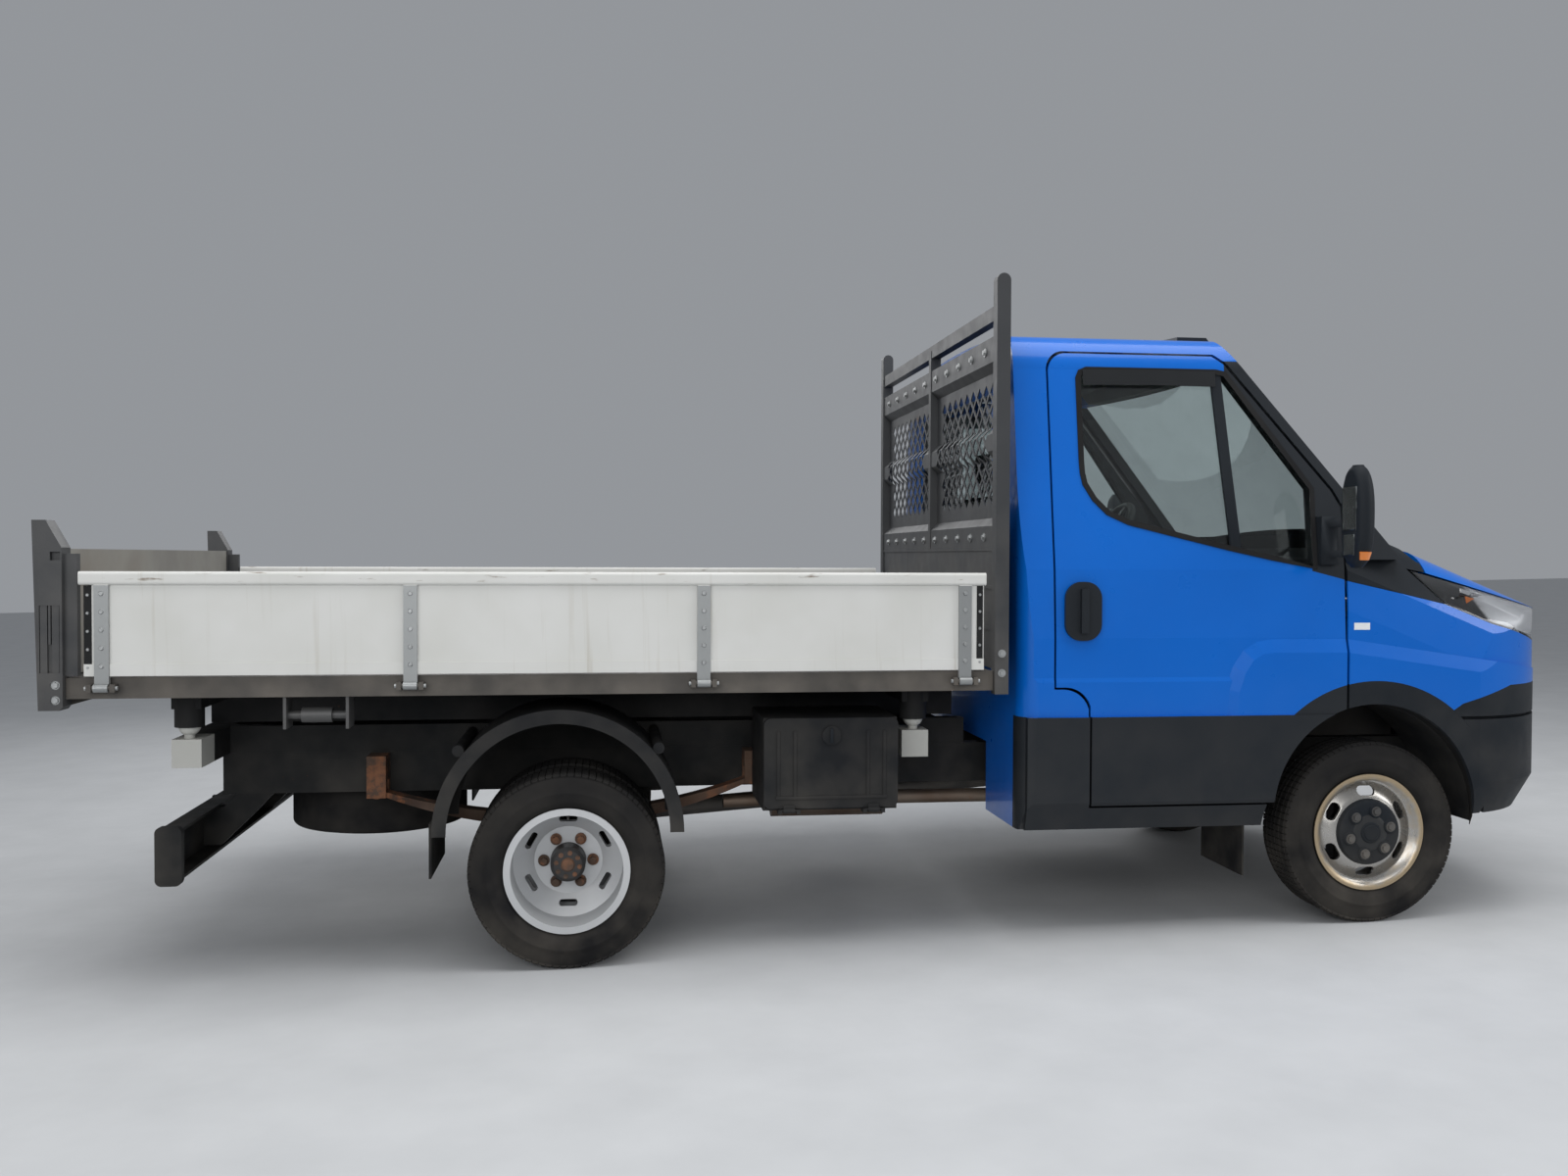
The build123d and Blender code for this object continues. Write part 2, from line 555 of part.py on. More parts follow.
def bed():
    """The tipping bed: floor, beams, posts, headboard, sides and tailgate."""
    nodes = {}
    under = FLOOR_TOP - FLOOR_THICK
    h, sill = BED_HALF, POST_IN - SEAT_FIT
    floor = [block(BED_REAR, BED_FRONT, -h, h, under, FLOOR_TOP),
             block(BED_REAR - 69, BED_REAR - 9, -sill, sill, POST_FOOT + 10, FLOOR_TOP),
             block(BED_REAR - 15, BED_REAR + 5, -sill, sill, under - 30, FLOOR_TOP)]
    for sign in (-1, 1):
        floor.append(block(BED_REAR, BED_FRONT, sign * (h - RAVE_WIDE), sign * h, RAVE_BOTTOM, under + 1))
    spread = (BED_FRONT - BED_REAR) / (BEARER_COUNT - 1)
    for k in range(BEARER_COUNT):
        x = min(max(BED_REAR + k * spread, BED_REAR + 26), BED_FRONT - 26)
        floor.append(block(x - 25, x + 25, -h + 20, h - 20, RAVE_BOTTOM + SEAT_FIT, under + 1))
    z = SIDE_HINGE_Z
    for x in STRAPS:
        for sign in (-1, 1):
            y = sign * SIDE_HINGE_Y
            for way in (-1, 1):
                a, b = x + way * (STRAP_WIDE / 2 + 6), x + way * (STRAP_WIDE / 2 + 22)
                floor.append(block(a, b, sign * (h - 5), y + sign * 11, z - 13, z + 13))
            reach = STRAP_WIDE / 2 + 10
            floor.append(rod((x - reach, y, z), (x + reach, y, z), SIDE_PIN_R))
    nodes["bed_floor"] = [fuse(floor)]

    top = RAVE_BOTTOM
    beams = [block(REAR_BALL_X - BEAM_TAIL, BED_FRONT, sign * 330, sign * 420, SUBFRAME_TOP + 15, top)
             for sign in (-1, 1)]
    hollows = []
    for x in (REAR_BALL_X, FRONT_BALL_X):
        beams.append(block(x - 50, x + 50, -BALL_Y - 40, BALL_Y + 40, 906, top))
        for y in (-BALL_Y, BALL_Y):
            beams.append(rod((x, y, BALL_Z - 5), (x, y, top), 50))
            hollows.append(Pos(x, y, BALL_Z) * Sphere(BALL_R + SEAT_FIT))
    beams += [block(RAM_X - 90, RAM_X + 45, sign * 44, sign * 58, 914, top) for sign in (-1, 1)]
    beams.append(block(RAM_X - 90, RAM_X - 66, -335, 335, 914, top))
    roller = [block(x, x + 10, -1000, -900, 856, RAVE_BOTTOM - SEAT_FIT) for x in (-945, -740)]
    roller += [rod((-940, -960, 900), (-735, -960, 900), 14), rod((-890, -960, 900), (-790, -960, 900), 26)]
    nodes["bed_beams"] = [cut(fuse(beams), hollows)] + pair(fuse(roller))

    nodes["rear_posts"] = pair(rear_post())
    nodes["headboard_frame"] = [headboard_frame()]
    nodes["headboard_mesh"] = pair(mesh_panel())
    nodes["dropside_right"] = [dropside()]
    nodes["dropside_left"] = [mirrored(dropside())]

    gate = [block(GATE_OUT, GATE_IN, -GATE_HALF, GATE_HALF, SIDE_BOTTOM, GATE_TOP),
            cross_rod(GATE_PIN_X, GATE_PIN_Z, -1010, 1010, GATE_PIN_R)]
    for z in (SIDE_BOTTOM, 1240):
        gate.append(block(GATE_OUT - 14, GATE_OUT + 1, -GATE_HALF + 20, GATE_HALF - 20, z, z + 44))
    nodes["tailgate"] = [fuse(gate)]
    return nodes


def rear_post():
    """A rear corner post with its slanted top, gate bore, lever recess and two bolt seats."""
    x0 = BED_REAR - 1
    post = side([(TAIL_X + 15, POST_FOOT), (x0 - 10, POST_FOOT), (x0, POST_FOOT + 14), (x0, GATE_TOP + 4),
                 (x0 - 49, POST_TOP), (TAIL_X, POST_TOP)], -POST_OUT, -POST_IN)
    flange = block(x0 - 2, x0 + 40, -1015, -985, SIDE_BOTTOM, GATE_TOP - 16)
    face = -POST_OUT
    recess = block(TAIL_X + 21, x0 - 8, face - 1, face + 10, 1054, 1276)
    bars = [block(x, x + 22, face + 2, face + 11, 1054, 1276) for x in (TAIL_X + 23, x0 - 32)]
    lever = block(TAIL_X + 49, x0 - 36, face + 1, face + 11, 1148, 1284)
    seats = [cross_rod(x0 - 24, z, face - 1, face + 8, 15) for z in (964, 1014)]
    bore = cross_rod(GATE_PIN_X, GATE_PIN_Z, -POST_IN + 1, -1020, GATE_PIN_R + RUN_FIT)
    window = block(GATE_PIN_X - 18, GATE_PIN_X + 14, -1021, face - 1, GATE_PIN_Z - 16, GATE_PIN_Z + 12)
    return fuse([cut(fuse([post, flange]), [bore, window, recess] + seats)] + bars + [lever])


def headboard_frame():
    """Two posts with rounded tops, the top rail, the centre bar and the solid lower board."""
    r = (HEAD_X1 - HEAD_X0) / 2
    post = side([(HEAD_X0, RAVE_BOTTOM - 12), (HEAD_X1, RAVE_BOTTOM - 12), (HEAD_X1, HEAD_TOP - r),
                 ((HEAD_X0 + r, HEAD_TOP), (HEAD_X0, HEAD_TOP - r))], -HEAD_OUT, -HEAD_IN)
    reach = HEAD_IN + 2
    rail = block(HEAD_X0 + 5, HEAD_X1 - 5, -reach, reach, RAIL_HEAD_TOP - 52, RAIL_HEAD_TOP)
    board = block(HEAD_X0 + 8, HEAD_X1 - 12, -reach, reach, SIDE_BOTTOM, BOARD_TOP)
    ribs = [block(HEAD_X0 + 4, HEAD_X0 + 9, -reach, reach, z, z + 12) for z in (1180, 1330, BOARD_TOP - 12)]
    centre = block(HEAD_X0 + 3, HEAD_X1 - 3, -18, 18, BOARD_TOP - 2, RAIL_HEAD_TOP - 20)
    return fuse([post, mirrored(post), rail, board, centre] + ribs)


def mesh_panel():
    """One half of the headboard: a sheet folded into three flanges, with rows of diamond holes."""
    near, far = HEAD_X0 + 6, HEAD_X0 + 34
    z0 = BOARD_TOP + SEAT_FIT
    middle = (z0 + MESH_TOP) / 2
    bend = 30
    folds = [(near, z0), (near, z0 + 78), (far, z0 + 78 + bend), (far, middle - 30 - bend),
             (near, middle - 30), (near, middle + 30), (far, middle + 30 + bend),
             (far, MESH_TOP - 90 - bend), (near, MESH_TOP - 90), (near, MESH_TOP)]
    back = [(x + MESH_SHEET, z) for x, z in reversed(folds)]
    y0, y1 = 18 + SEAT_FIT, HEAD_IN - SEAT_FIT
    sheet = side(folds + back, -y1, -y0)
    pitch_y = (y1 - y0 - 150) / MESH_COLUMNS
    pitch_z = (MESH_TOP - z0 - 290) / MESH_ROWS
    a, b = pitch_y * 0.4, pitch_z * 0.4
    holes = []
    for shift in (0, 1):
        for i in range(MESH_COLUMNS - shift):
            for j in range(MESH_ROWS - shift):
                y = -y0 - 75 - pitch_y * (i + 0.5 + shift / 2)
                z = z0 + 145 + pitch_z * (j + 0.5 + shift / 2)
                holes.append(section([(y - a, z), (y, z + b), (y + a, z), (y, z - b)], near - 2, far + 8))
    return cut(sheet, holes)


def dropside():
    """A side board: an aluminium panel with a boxed top cap, on four hinge straps."""
    y, z = -SIDE_HINGE_Y, SIDE_HINGE_Z
    pieces = [block(SIDE_REAR + 14, SIDE_FRONT - 6, -SIDE_OUT, -SIDE_IN, SIDE_BOTTOM, SIDE_TOP - 20),
              block(SIDE_REAR + 14, SIDE_FRONT - 6, -SIDE_OUT - 5, -SIDE_OUT + 1,
                    SIDE_BOTTOM, SIDE_BOTTOM + 40)]
    cap = block(SIDE_REAR, SIDE_FRONT, -SIDE_OUT - 12, -SIDE_IN + 8, SIDE_TOP - 45, SIDE_TOP)
    pieces.append(fillet(cap.edges().filter_by(Axis.X), 10))
    bores = []
    for x in STRAPS:
        a, b = x - STRAP_WIDE / 2, x + STRAP_WIDE / 2
        pieces += [block(a, b, -STRAP_OUT, -SIDE_OUT + 2, z - 6, SIDE_TOP - 43),
                   rod((a, y, z), (b, y, z), 14)]
        bores.append(rod((a - 5, y, z), (b + 5, y, z), SIDE_PIN_R + RUN_FIT))
    return cut(fuse(pieces), bores)


def cylinder():
    """The telescopic tipping cylinder: a swinging barrel and four stages."""
    nodes = {}
    body = fuse([rod((RAM_X, 0, RAM_BOTTOM_Z), (RAM_X, 0, RAM_TOP_Z), RAM_RADII[0]),
                 cross_rod(RAM_X, RAM_PIVOT_Z, -125, 125, RAM_PIN_R)])
    bore = rod((RAM_X, 0, RAM_BOTTOM_Z + 12), (RAM_X, 0, RAM_TOP_Z + 1), RAM_RADII[1] + RUN_FIT)
    nodes["tip_cylinder"] = [cut(body, [bore])]
    count = len(RAM_RADII) - 1
    for k in range(1, count + 1):
        low = RAM_BOTTOM_Z + 12 + 6 * k
        high = RAM_TOP_Z + 5 * k
        stage = rod((RAM_X, 0, low), (RAM_X, 0, high), RAM_RADII[k])
        if k < count:
            bore = rod((RAM_X, 0, low + 5), (RAM_X, 0, high + 1), RAM_RADII[k + 1] + RUN_FIT)
            stage = cut(stage, [bore])
        else:
            stage = fuse([stage, cross_rod(RAM_X, high + 14, -30, 30, 26)])
        nodes[f"ram_stage_{k}"] = [stage]
    return nodes


def cabin_outline(inset):
    """The cabin seen from the front: proud sills, upright sides, leaning windows, crowned roof."""
    y, t = CAB_HALF - inset, inset
    sill = y + SILL_PROUD
    half = [(y - 40, CAB_BOTTOM + t), (sill, 560 + t / 2), (sill, SILL_CREASE_Z - 16), (y, SILL_CREASE_Z),
            (y, 1150), (y - 15, BELT_Z), (y - 122, 2140 - t / 2)]
    eave, edge = (y - 160, 2234 - t), (y - 270, ROOF_EDGE_Z - t)
    other = [(-a, b) for a, b in reversed(half)]
    roof = [(eave, edge), ((0, ROOF_TOP - t), (-edge[0], edge[1])), ((-eave[0], eave[1]), other[0])]
    return half + roof + other[1:]


def cabin(inset):
    """The cabin as a full block, with rounded rear corners and a raked screen."""
    y, t = CAB_HALF + SILL_PROUD - inset, inset
    back = CAB_BACK + t
    whole = section(cabin_outline(t), back, 320)
    r = 70
    ends = plan([(back + r, y), ((back + 0.3 * r, y - 0.3 * r), (back, y - r)), (back, r - y),
                 ((back + 0.3 * r, 0.3 * r - y), (back + r, -y)), (400, -y), (400, y)], 0, 2600)
    low = block(BULKHEAD_X - t, 600, -1200, 1200, 0, 1440 + t)
    tunnel = block(2 * CAB_BACK, 1000, -TUNNEL_HALF - t, TUNNEL_HALF + t, 0, TUNNEL_TOP + t)
    return cut(whole & ends, [ahead_of_screen(1.3 * t), low, tunnel])


def ahead_of_screen(back):
    """Everything ahead of the bowed, raked windscreen surface, moved back by a distance."""
    drop, rise, far, wide = 120.0, 1100.0, 1600.0, 1000.0
    x = SCREEN_X - back + drop * SCREEN_LEAN
    points = [(x - SCREEN_BOW, -wide), ((x, 0), (x - SCREEN_BOW, wide)), (x + far, wide), (x + far, -wide)]
    return prism(points, lambda a, b: (a, b, SCREEN_Z - drop), (-rise * SCREEN_LEAN, 0, rise))


def nose_plan_points(inset, widen=0.0):
    """The nose seen from above: straight sides that turn in to a bowed front."""
    y, t = CAB_HALF - inset + widen, inset
    n, w = NOSE - t, 700 - t
    turn = (620 - t, y - 70)
    return [(-200, -y), (300, -y), ((turn[0], -turn[1]), (n - 155, -w)), ((n, 0), (n - 155, w)),
            (turn, (300, y)), (-200, y)]


def nose(inset):
    """The nose as a full block: sloping bonnet with rounded shoulders and a bowed front."""
    y, t = CAB_HALF - inset, inset
    half = [(y, 300), (y, 1150), (y - 12, 1300 - t / 2), (y - 85, 1420 - t)]
    shoulder, edge = (y - 140, 1480 - t), (y - 240, 1520 - t)
    other = [(-a, b) for a, b in reversed(half)]
    top = [(shoulder, edge), ((0, CROWN_Z - t), (-edge[0], edge[1])),
           ((-shoulder[0], shoulder[1]), other[0])]
    x0, x1 = -200.0, 1100.0
    lift = (CROWN_X - x0) * NOSE_SLOPE
    points = half + top + other[1:]
    whole = prism(points, lambda a, b: (x0, a, b + lift), (x1 - x0, 0, -(x1 - x0) * NOSE_SLOPE))
    upright = section([(-y, 300), (y, 300), (y, 1900), (-y, 1900)], x0, x1)
    return whole & plan(nose_plan_points(inset), 0, 2600) & upright


def nose_flare():
    """The wide lower part of the nose, with a slanted shoulder that falls towards the front."""
    y, x0, x1 = CAB_HALF, -200.0, 1100.0
    z = FLARE_Z + (DOOR_FRONT - x0) * FLARE_FALL
    half = [(y + FLARE, 300), (y + FLARE, z - FLARE_SLOPE), (y, z)]
    points = half + [(-a, b) for a, b in reversed(half)]
    return section(points, x0, x1, (x1 - x0) * FLARE_FALL) & plan(nose_plan_points(0, FLARE), 0, 2600)


def door_flare():
    """The rear end of the wheel-arch flare, a raised pad on the door that runs out behind the wheel."""
    x1 = DOOR_FRONT
    front = ARCH_Z + sqrt(ARCH_R ** 2 - (x1 - ARCH_X) ** 2)
    foot = ARCH_X - sqrt(ARCH_R ** 2 - (CLAD_TOP - ARCH_Z) ** 2)
    way = (ARCH_X + ARCH_R * cos(radians(110)), ARCH_Z + ARCH_R * sin(radians(110)))
    lip = [(x1, front), (way, (foot, CLAD_TOP))]
    low = 10.0
    out, down = low / FLARE * FLARE_SLOPE, FLARE_SLOPE
    crease = [(-605, CLAD_TOP, -1.0, 0.0), (-598, 960, -0.98, 0.2), (-570, 1045, -0.87, 0.5),
              (-530, 1103, -0.7, 0.71), (-478, 1135, -0.4, 0.92), (-420, FLARE_Z, -0.1, 0.99),
              (x1, FLARE_Z, 0.0, 1.0)]
    base = [(x + out * a, z + out * b) for x, z, a, b in crease]
    crown = [(x - down * a, z - down * b) for x, z, a, b in crease]
    wires = [outline_wire(points + lip, lambda x, z: (x, y, z))
             for points, y in ((base, -CAB_HALF + low), (crown, -CAB_HALF - FLARE))]
    return Solid.make_loft(wires, ruled=True)


def door_outline(grow):
    """The door's shut line in side view, grown outward by a gap."""
    g, x = grow, DOOR_FRONT + grow
    r = ARCH_R - g
    front_top = sqrt(r * r - (x - ARCH_X) ** 2)
    low = DOOR_BOTTOM - g
    toe = sqrt(r * r - (low - ARCH_Z) ** 2)
    way = (ARCH_X + r * cos(radians(148)), ARCH_Z + r * sin(radians(148)))
    return [(DOOR_STEP_X - g, low), (DOOR_STEP_X - g, 900 - g), ((-1152 - g, 953 - g), (-1210 - g, 972 - g)),
            (DOOR_REAR - g, 972 - g), (DOOR_REAR - g, 2130), ((-1224 - g, 2182 + g), (-1173, DOOR_TOP + g)),
            (-604 + g, DOOR_TOP + g), (-560 + g, 2172 + g), (-162 + g, 1696 + g), (x, 1636 + g),
            (x, ARCH_Z + front_top), (way, (ARCH_X - toe, low))]


def window_outline():
    """The door window in side view: its lower edge sweeps down to the mirror."""
    return [(-1132, 1800), ((-1122, 1715), (-1088, 1658)), ((-1038, 1608), (-960, 1573)), (-582, 1482),
            (-244, 1408), (-240, 1705), (-540, 2110), ((-560, 2136), (-595, 2142)), (-1100, 2142),
            ((-1123, 2132), (-1132, 2110))]


def wheel_wells(y0, y1):
    """The room of both front wheels, out to the back of the liners."""
    r = LINER_R + LINER_THICK + SEAT_FIT
    return [cross_rod(0, LINER_Z, sign * y0, sign * y1, r) for sign in (-1, 1)]


def cab():
    """Cab shell, doors, glass, nose panels and inside fittings, set on the wheelbase."""
    nodes = {}
    outer = cabin(0)
    nodes["cab_shell"] = [cab_shell(outer)]
    glass_face = section([(-879, 1549), (879, 1549), (794.2, 2191), (-794.2, 2191)], -1000, 600)
    layer = cut(outer, [cut(outer, [ahead_of_screen(8)])])
    rear_pane = section([(-619.5, 1560.5), (619.5, 1560.5), (579.5, 2079.5), (-579.5, 2079.5)],
                        CAB_BACK + 6, CAB_BACK + 12)
    nodes["cab_glass"] = [layer & glass_face, rear_pane]
    door, handle, glass, mirror_piece = door_pieces(outer)
    for name, way in (("right", lambda shape: shape), ("left", mirrored)):
        nodes[f"door_{name}"] = [way(door), way(handle)]
        nodes[f"door_glass_{name}"] = [way(glass)]
        nodes[f"mirror_{name}"] = [way(mirror_piece)]
    nodes.update(nose_panels(outer))
    nodes.update(inside())
    return {name: [shape.translate((WHEELBASE, 0, 0)) for shape in shapes] for name, shapes in nodes.items()}


def cab_shell(outer):
    """The cab's hollow body, with its openings, hinge arms, feet and the visor over the screen."""
    inner = cabin(CAB_WALL)
    screen = section([(-880, 1548), (880, 1548), (795, 2192), (-795, 2192)], -1000, 600)
    back_window = section([(-620, 1560), (620, 1560), (580, 2080), (-580, 2080)],
                          CAB_BACK - 120, CAB_BACK + 120)
    inside_doors = section(cabin_outline(DOOR_THICK + DOOR_GAP), 2 * CAB_BACK, 400)
    holes = [cut(side(door_outline(DOOR_GAP), sign * 760, sign * 1100), [inside_doors]) for sign in (-1, 1)]
    holes += [screen, back_window, bonnet_sweep()] + wheel_wells(560, 1100)
    x, y = DOOR_HINGE_X, DOOR_HINGE_Y
    swing = sqrt((DOOR_FRONT - x) ** 2 + (y - CAB_HALF + DOOR_THICK) ** 2) + 6
    behind = block(2 * CAB_BACK, BULKHEAD_X, -1100, 1100, 0, 2600)
    for z0, z1, r in ((DOOR_BOTTOM, 1640, swing), (1240, 1492, swing + 18)):
        holes += [rod((x, sign * y, z0), (x, sign * y, z1), r) & behind for sign in (-1, 1)]
    clad = cabin(-CLAD_PROUD) & block(CAB_BACK + 24, 0, -1100, 1100, CAB_BOTTOM, CLAD_TOP)
    arch = cross_rod(ARCH_X, ARCH_Z, -1200, 1200, ARCH_R)
    clad = cut(clad, [inner, arch, block(2 * CAB_BACK, 600, -900, 900, 0, 2000)])
    shell = cut(fuse([outer, clad]), [inner] + holes)
    arms = []
    hx, hz = BONNET_HINGE_X, BONNET_HINGE_Z
    for sign in (-1, 1):
        for z in DOOR_HINGE_ZS:
            arms += [block(x - 9, BULKHEAD_X - 20, sign * 850, sign * 884, z, z + 15),
                     block(x - 9, x + 9, sign * 850, sign * (y + 6), z, z + 15),
                     rod((x, sign * y, z + 10), (x, sign * y, z + 75), DOOR_PIN_R)]
        arms += [block(40, hx + 10, sign * 520, sign * 540, 1440, 1458),
                 block(hx - 10, hx + 10, sign * 520, sign * 540, 1450, hz),
                 cross_rod(hx, hz, sign * 520, sign * 540, 12),
                 cross_rod(hx, hz, sign * 490, sign * 530, BONNET_PIN_R)]
    feet = [block(f - 40, f + 40, sign * (RAIL_Y - 55), sign * (RAIL_Y - 5),
                  RAIL_TOP + SEAT_FIT, TUNNEL_TOP + 4) for f in (-1240, -380) for sign in (-1, 1)]
    visor = cabin(-VISOR_THICK) & block(VISOR_BACK, 0, -VISOR_HALF, VISOR_HALF, VISOR_Z, ROOF_TOP + 100)
    return fuse([shell] + arms + feet + [cut(visor, [outer])])


def door_pieces(outer):
    """The right door with its cladding and flare, its handle, its window and its mirror."""
    leaf = side(door_outline(0), -760, -1100)
    skin = cut(outer, [section(cabin_outline(DOOR_SKIN), 2 * CAB_BACK, 400)]) & leaf
    core = cut(outer, [section(cabin_outline(DOOR_THICK), 2 * CAB_BACK, 400)])
    core = core & side(door_outline(-DOOR_HEM), -760, -1100)
    clad = cabin(-CLAD_PROUD) & leaf & block(2 * CAB_BACK, 0, -1100, -900, 0, CLAD_TOP)
    clad = cut(clad, [section(cabin_outline(CAB_WALL), 2 * CAB_BACK, 400)])
    x, y = DOOR_HINGE_X, DOOR_HINGE_Y
    notches = [side(window_outline(), -700, -1100)]
    for z in DOOR_HINGE_ZS:
        notches += [block(x - 14, DOOR_FRONT + 20, -y - 11, -800, z - 6, z + 21),
                    rod((x, -y, z + 15), (x, -y, z + 81), DOOR_PIN_R + RUN_FIT)]
    door = cut(fuse([skin, core, clad, door_flare()]), notches)
    glass = cut(cabin(14), [cabin(20)]) & side(window_outline(), -700, -1100)
    grip = block(-1216, -1080, -CAB_HALF - 16, -CAB_HALF - SEAT_FIT, 1142, 1356)
    grip = fillet(grip.edges().filter_by(Axis.Y), 60)
    handle = fuse([grip, block(-1162, -1134, -CAB_HALF - 34, -CAB_HALF - 14, 1170, 1330)])
    head = fillet(block(-243, -143, -1275, -1085, 1410, 1778).edges(), 26)
    arms = [block(-200, -170, -1120, -(CAB_HALF - 30), z, z + 26) for z in (1448, 1560)]
    foot = block(-230, -160, -CAB_HALF - 2, -CAB_HALF + 60, 1420, 1600)
    return door, handle, glass, cut(fuse([head, foot] + arms), [cabin(-SEAT_FIT)])


def bonnet_sweep():
    """The room that the bonnet's rear edge turns through as it lifts."""
    return cross_rod(BONNET_HINGE_X, BONNET_HINGE_Z, -1100, 1100, BONNET_SWEEP_R + GUTTER_WALL / 2)


def nose_panels(outer):
    """Fenders, trims, bumper, grille, lamps, cowl and bonnet, cut from one nose."""
    nodes = {}
    g = SEAT_FIT
    far = 1100
    whole = nose(0)
    wide = fuse([whole, nose_flare()])
    x0 = BULKHEAD_X + 2
    arch = cross_rod(ARCH_X, ARCH_Z, -1200, 1200, TRIM_R)
    open_arch = cross_rod(ARCH_X, ARCH_Z, -1200, 1200, ARCH_R)
    lamp_low = [(290, 1272), (486, 1197), (745, 1128), (far, 1060)]
    bumper_line = [(200, 806), (339, 898), (560, BUMPER_TOP), (far, BUMPER_TOP)]
    fender_side = [(x0, 806)] + [(x, z + g) for x, z in bumper_line]
    fender_side += [(x, z - g) for x, z in reversed([(x0, 1360)] + lamp_low)]
    fender = cut(wide, [nose(10)]) & side(fender_side, -GRILLE_HALF, -1100)
    nodes["front_fenders"] = pair(cut(fender, [arch]))

    trim = cut(nose(-FLARE), [nose(12)]) & side(
        [(x0, 700), (200 - g, 806), (400, 806), (400, 1100), (x0, 1100)], -900, -1100)
    trim = trim & cross_rod(ARCH_X, ARCH_Z, -1200, 1200, TRIM_R - g)
    nodes["arch_trims"] = pair(cut(trim, [open_arch]))

    bumper = cut(wide, [nose(60)]) & side(
        bumper_line + [(far, BUMPER_BOTTOM), (372, BUMPER_BOTTOM), (200, 600)], -1100, 1100)
    rise = 8
    chin = prism(nose_plan_points(0, FLARE), lambda x, y: (x - CHIN_BACK, y, BUMPER_BOTTOM - 1),
                 (rise * CHIN_BACK, 0, rise * CHIN_RISE))
    seam = cut(block(200, far, -1100, 1100, BUMPER_SEAM_Z, BUMPER_SEAM_Z + 12), [nose(8)])
    slots = [block(600, far, -430, 430, z, z + 34) for z in (580, 634, 688)]
    over_sill = cut(arch, [block(200, 1000, -1100, 1100, 0, 806)])
    bumper = cut(bumper & chin, [over_sill, open_arch, seam] + wheel_wells(500, 985) + slots)
    stays = [block(RAIL_NOSE + g, 890, sign * 376, sign * 424, 560, 680) for sign in (-1, 1)]
    nodes["front_bumper"] = [fuse([bumper] + stays)]

    half = GRILLE_HALF - g
    z0, z1 = BUMPER_TOP + 6, 1202
    grille = cut(plan(nose_plan_points(0), z0, z1), [plan(nose_plan_points(60), z0 - 10, z1 + 10)])
    grille = grille & block(600, far, -half, half, z0 - 10, z1 + 10)
    bars = [block(600, far, -GRILLE_HALF + 46, GRILLE_HALF - 46, z, z + 24) for z in range(990, 1151, 40)]
    nodes["grille"] = [cut(grille, bars)]

    lamp_side = [(292, 1272)] + lamp_low[1:] + [(far, 1160), (662, 1276), (174, 1399)]
    nodes["headlamps"] = pair(cut(whole, [nose(110)]) & side(lamp_side, -GRILLE_HALF - g, -1100))

    hx, hz = BONNET_HINGE_X, BONNET_HINGE_Z
    shut = [(BONNET_REAR, 1389), (662, 1282), (far, 1168), (far, 1900), (BONNET_REAR, 1900)]
    hood = cut(whole, [nose(BONNET_THICK)]) & side(shut, -1100, 1100)
    rooms = [block(500, far, -GRILLE_HALF - 2, GRILLE_HALF + 2, 0, 1208)]
    pin = cross_rod(hx, hz, -600, 600, BONNET_PIN_R + RUN_FIT)
    lugs = []
    for sign in (-1, 1):
        lugs.append(cut(block(hx - 14, hx + 40, sign * 494, sign * 508, hz - 14, hz + 26), [pin]))
        rooms.append(block(hx - 60, hx + 60, sign * 484, sign * 550, 1400, hz + 16))
    nodes["bonnet"] = [fuse([cut(hood, rooms)] + lugs)]

    edge = BONNET_REAR - 6
    cover = cut(whole, [nose(24)]) & side(
        [(x0, 1361), (288, 1274), (160, 1406), (edge, 1392), (edge, 1900), (x0, 1900)], -1100, 1100)
    arms = [block(-100, 400, sign * 510, sign * 550, 1300, hz + 16) for sign in (-1, 1)]
    ring = sector((hx, hz), BONNET_SWEEP_R, BONNET_SWEEP_R + GUTTER_WALL, 128, 235)
    gutter = side(ring, -700, 700) & whole
    cover = fuse([cut(cover, [bonnet_sweep()]), gutter])
    nodes["cowl"] = list(cut(cover, [outer.moved(Pos(0.4, 0, 0)), outer] + arms).solids())
    return nodes


def inside():
    """Dashboard, steering wheel and seats."""
    nodes = {}
    wall = BULKHEAD_X - CAB_WALL - SEAT_FIT
    half = 836
    dash = side([(-430, 1200), (-440, 1330), (-390, 1430), (-300, 1452), (wall, 1440), (wall, 1100)],
                -half, half)
    spokes = [Rot(0, 0, a) * Pos(95, 0, 0) * Box(190, 30, 14) for a in (0, 130, 230)]
    wheel = fuse([Torus(195, 15), Cylinder(45, 40), Pos(0, 0, -170) * Cylinder(24, 320)] + spokes)
    nodes["dashboard"] = [dash, cut(Pos(-550, 400, 1530) * Rot(0, -55, 0) * wheel, [dash])]
    floor = TUNNEL_TOP + CAB_WALL + SEAT_FIT
    seats = []
    for y0, y1, base0, base1, heads in ((150, 680, 210, 470, (415,)), (-790, 60, -480, 20, (-575, -155))):
        pieces = [block(-1170, -740, base0, base1, floor, 960),
                  fillet(block(-1200, -660, y0, y1, 950, 1100).edges(), 30),
                  side([(-1300, 1090), (-1170, 1060), (-1235, 1740), (-1315, 1740)], y0 + 10, y1 - 10)]
        pieces += [block(-1310, -1240, y - 130, y + 130, 1730, 1900) for y in heads]
        seats.append(fuse(pieces))
    nodes["seats"] = seats
    return nodes


def truck():
    """Every node of the truck, standing on its wheels."""
    nodes = {}
    for group in (wheels, running_gear, frame, guards, bed, cylinder, cab):
        nodes.update(group())
    return {name: [stand(shape) for shape in shapes] for name, shapes in nodes.items()}


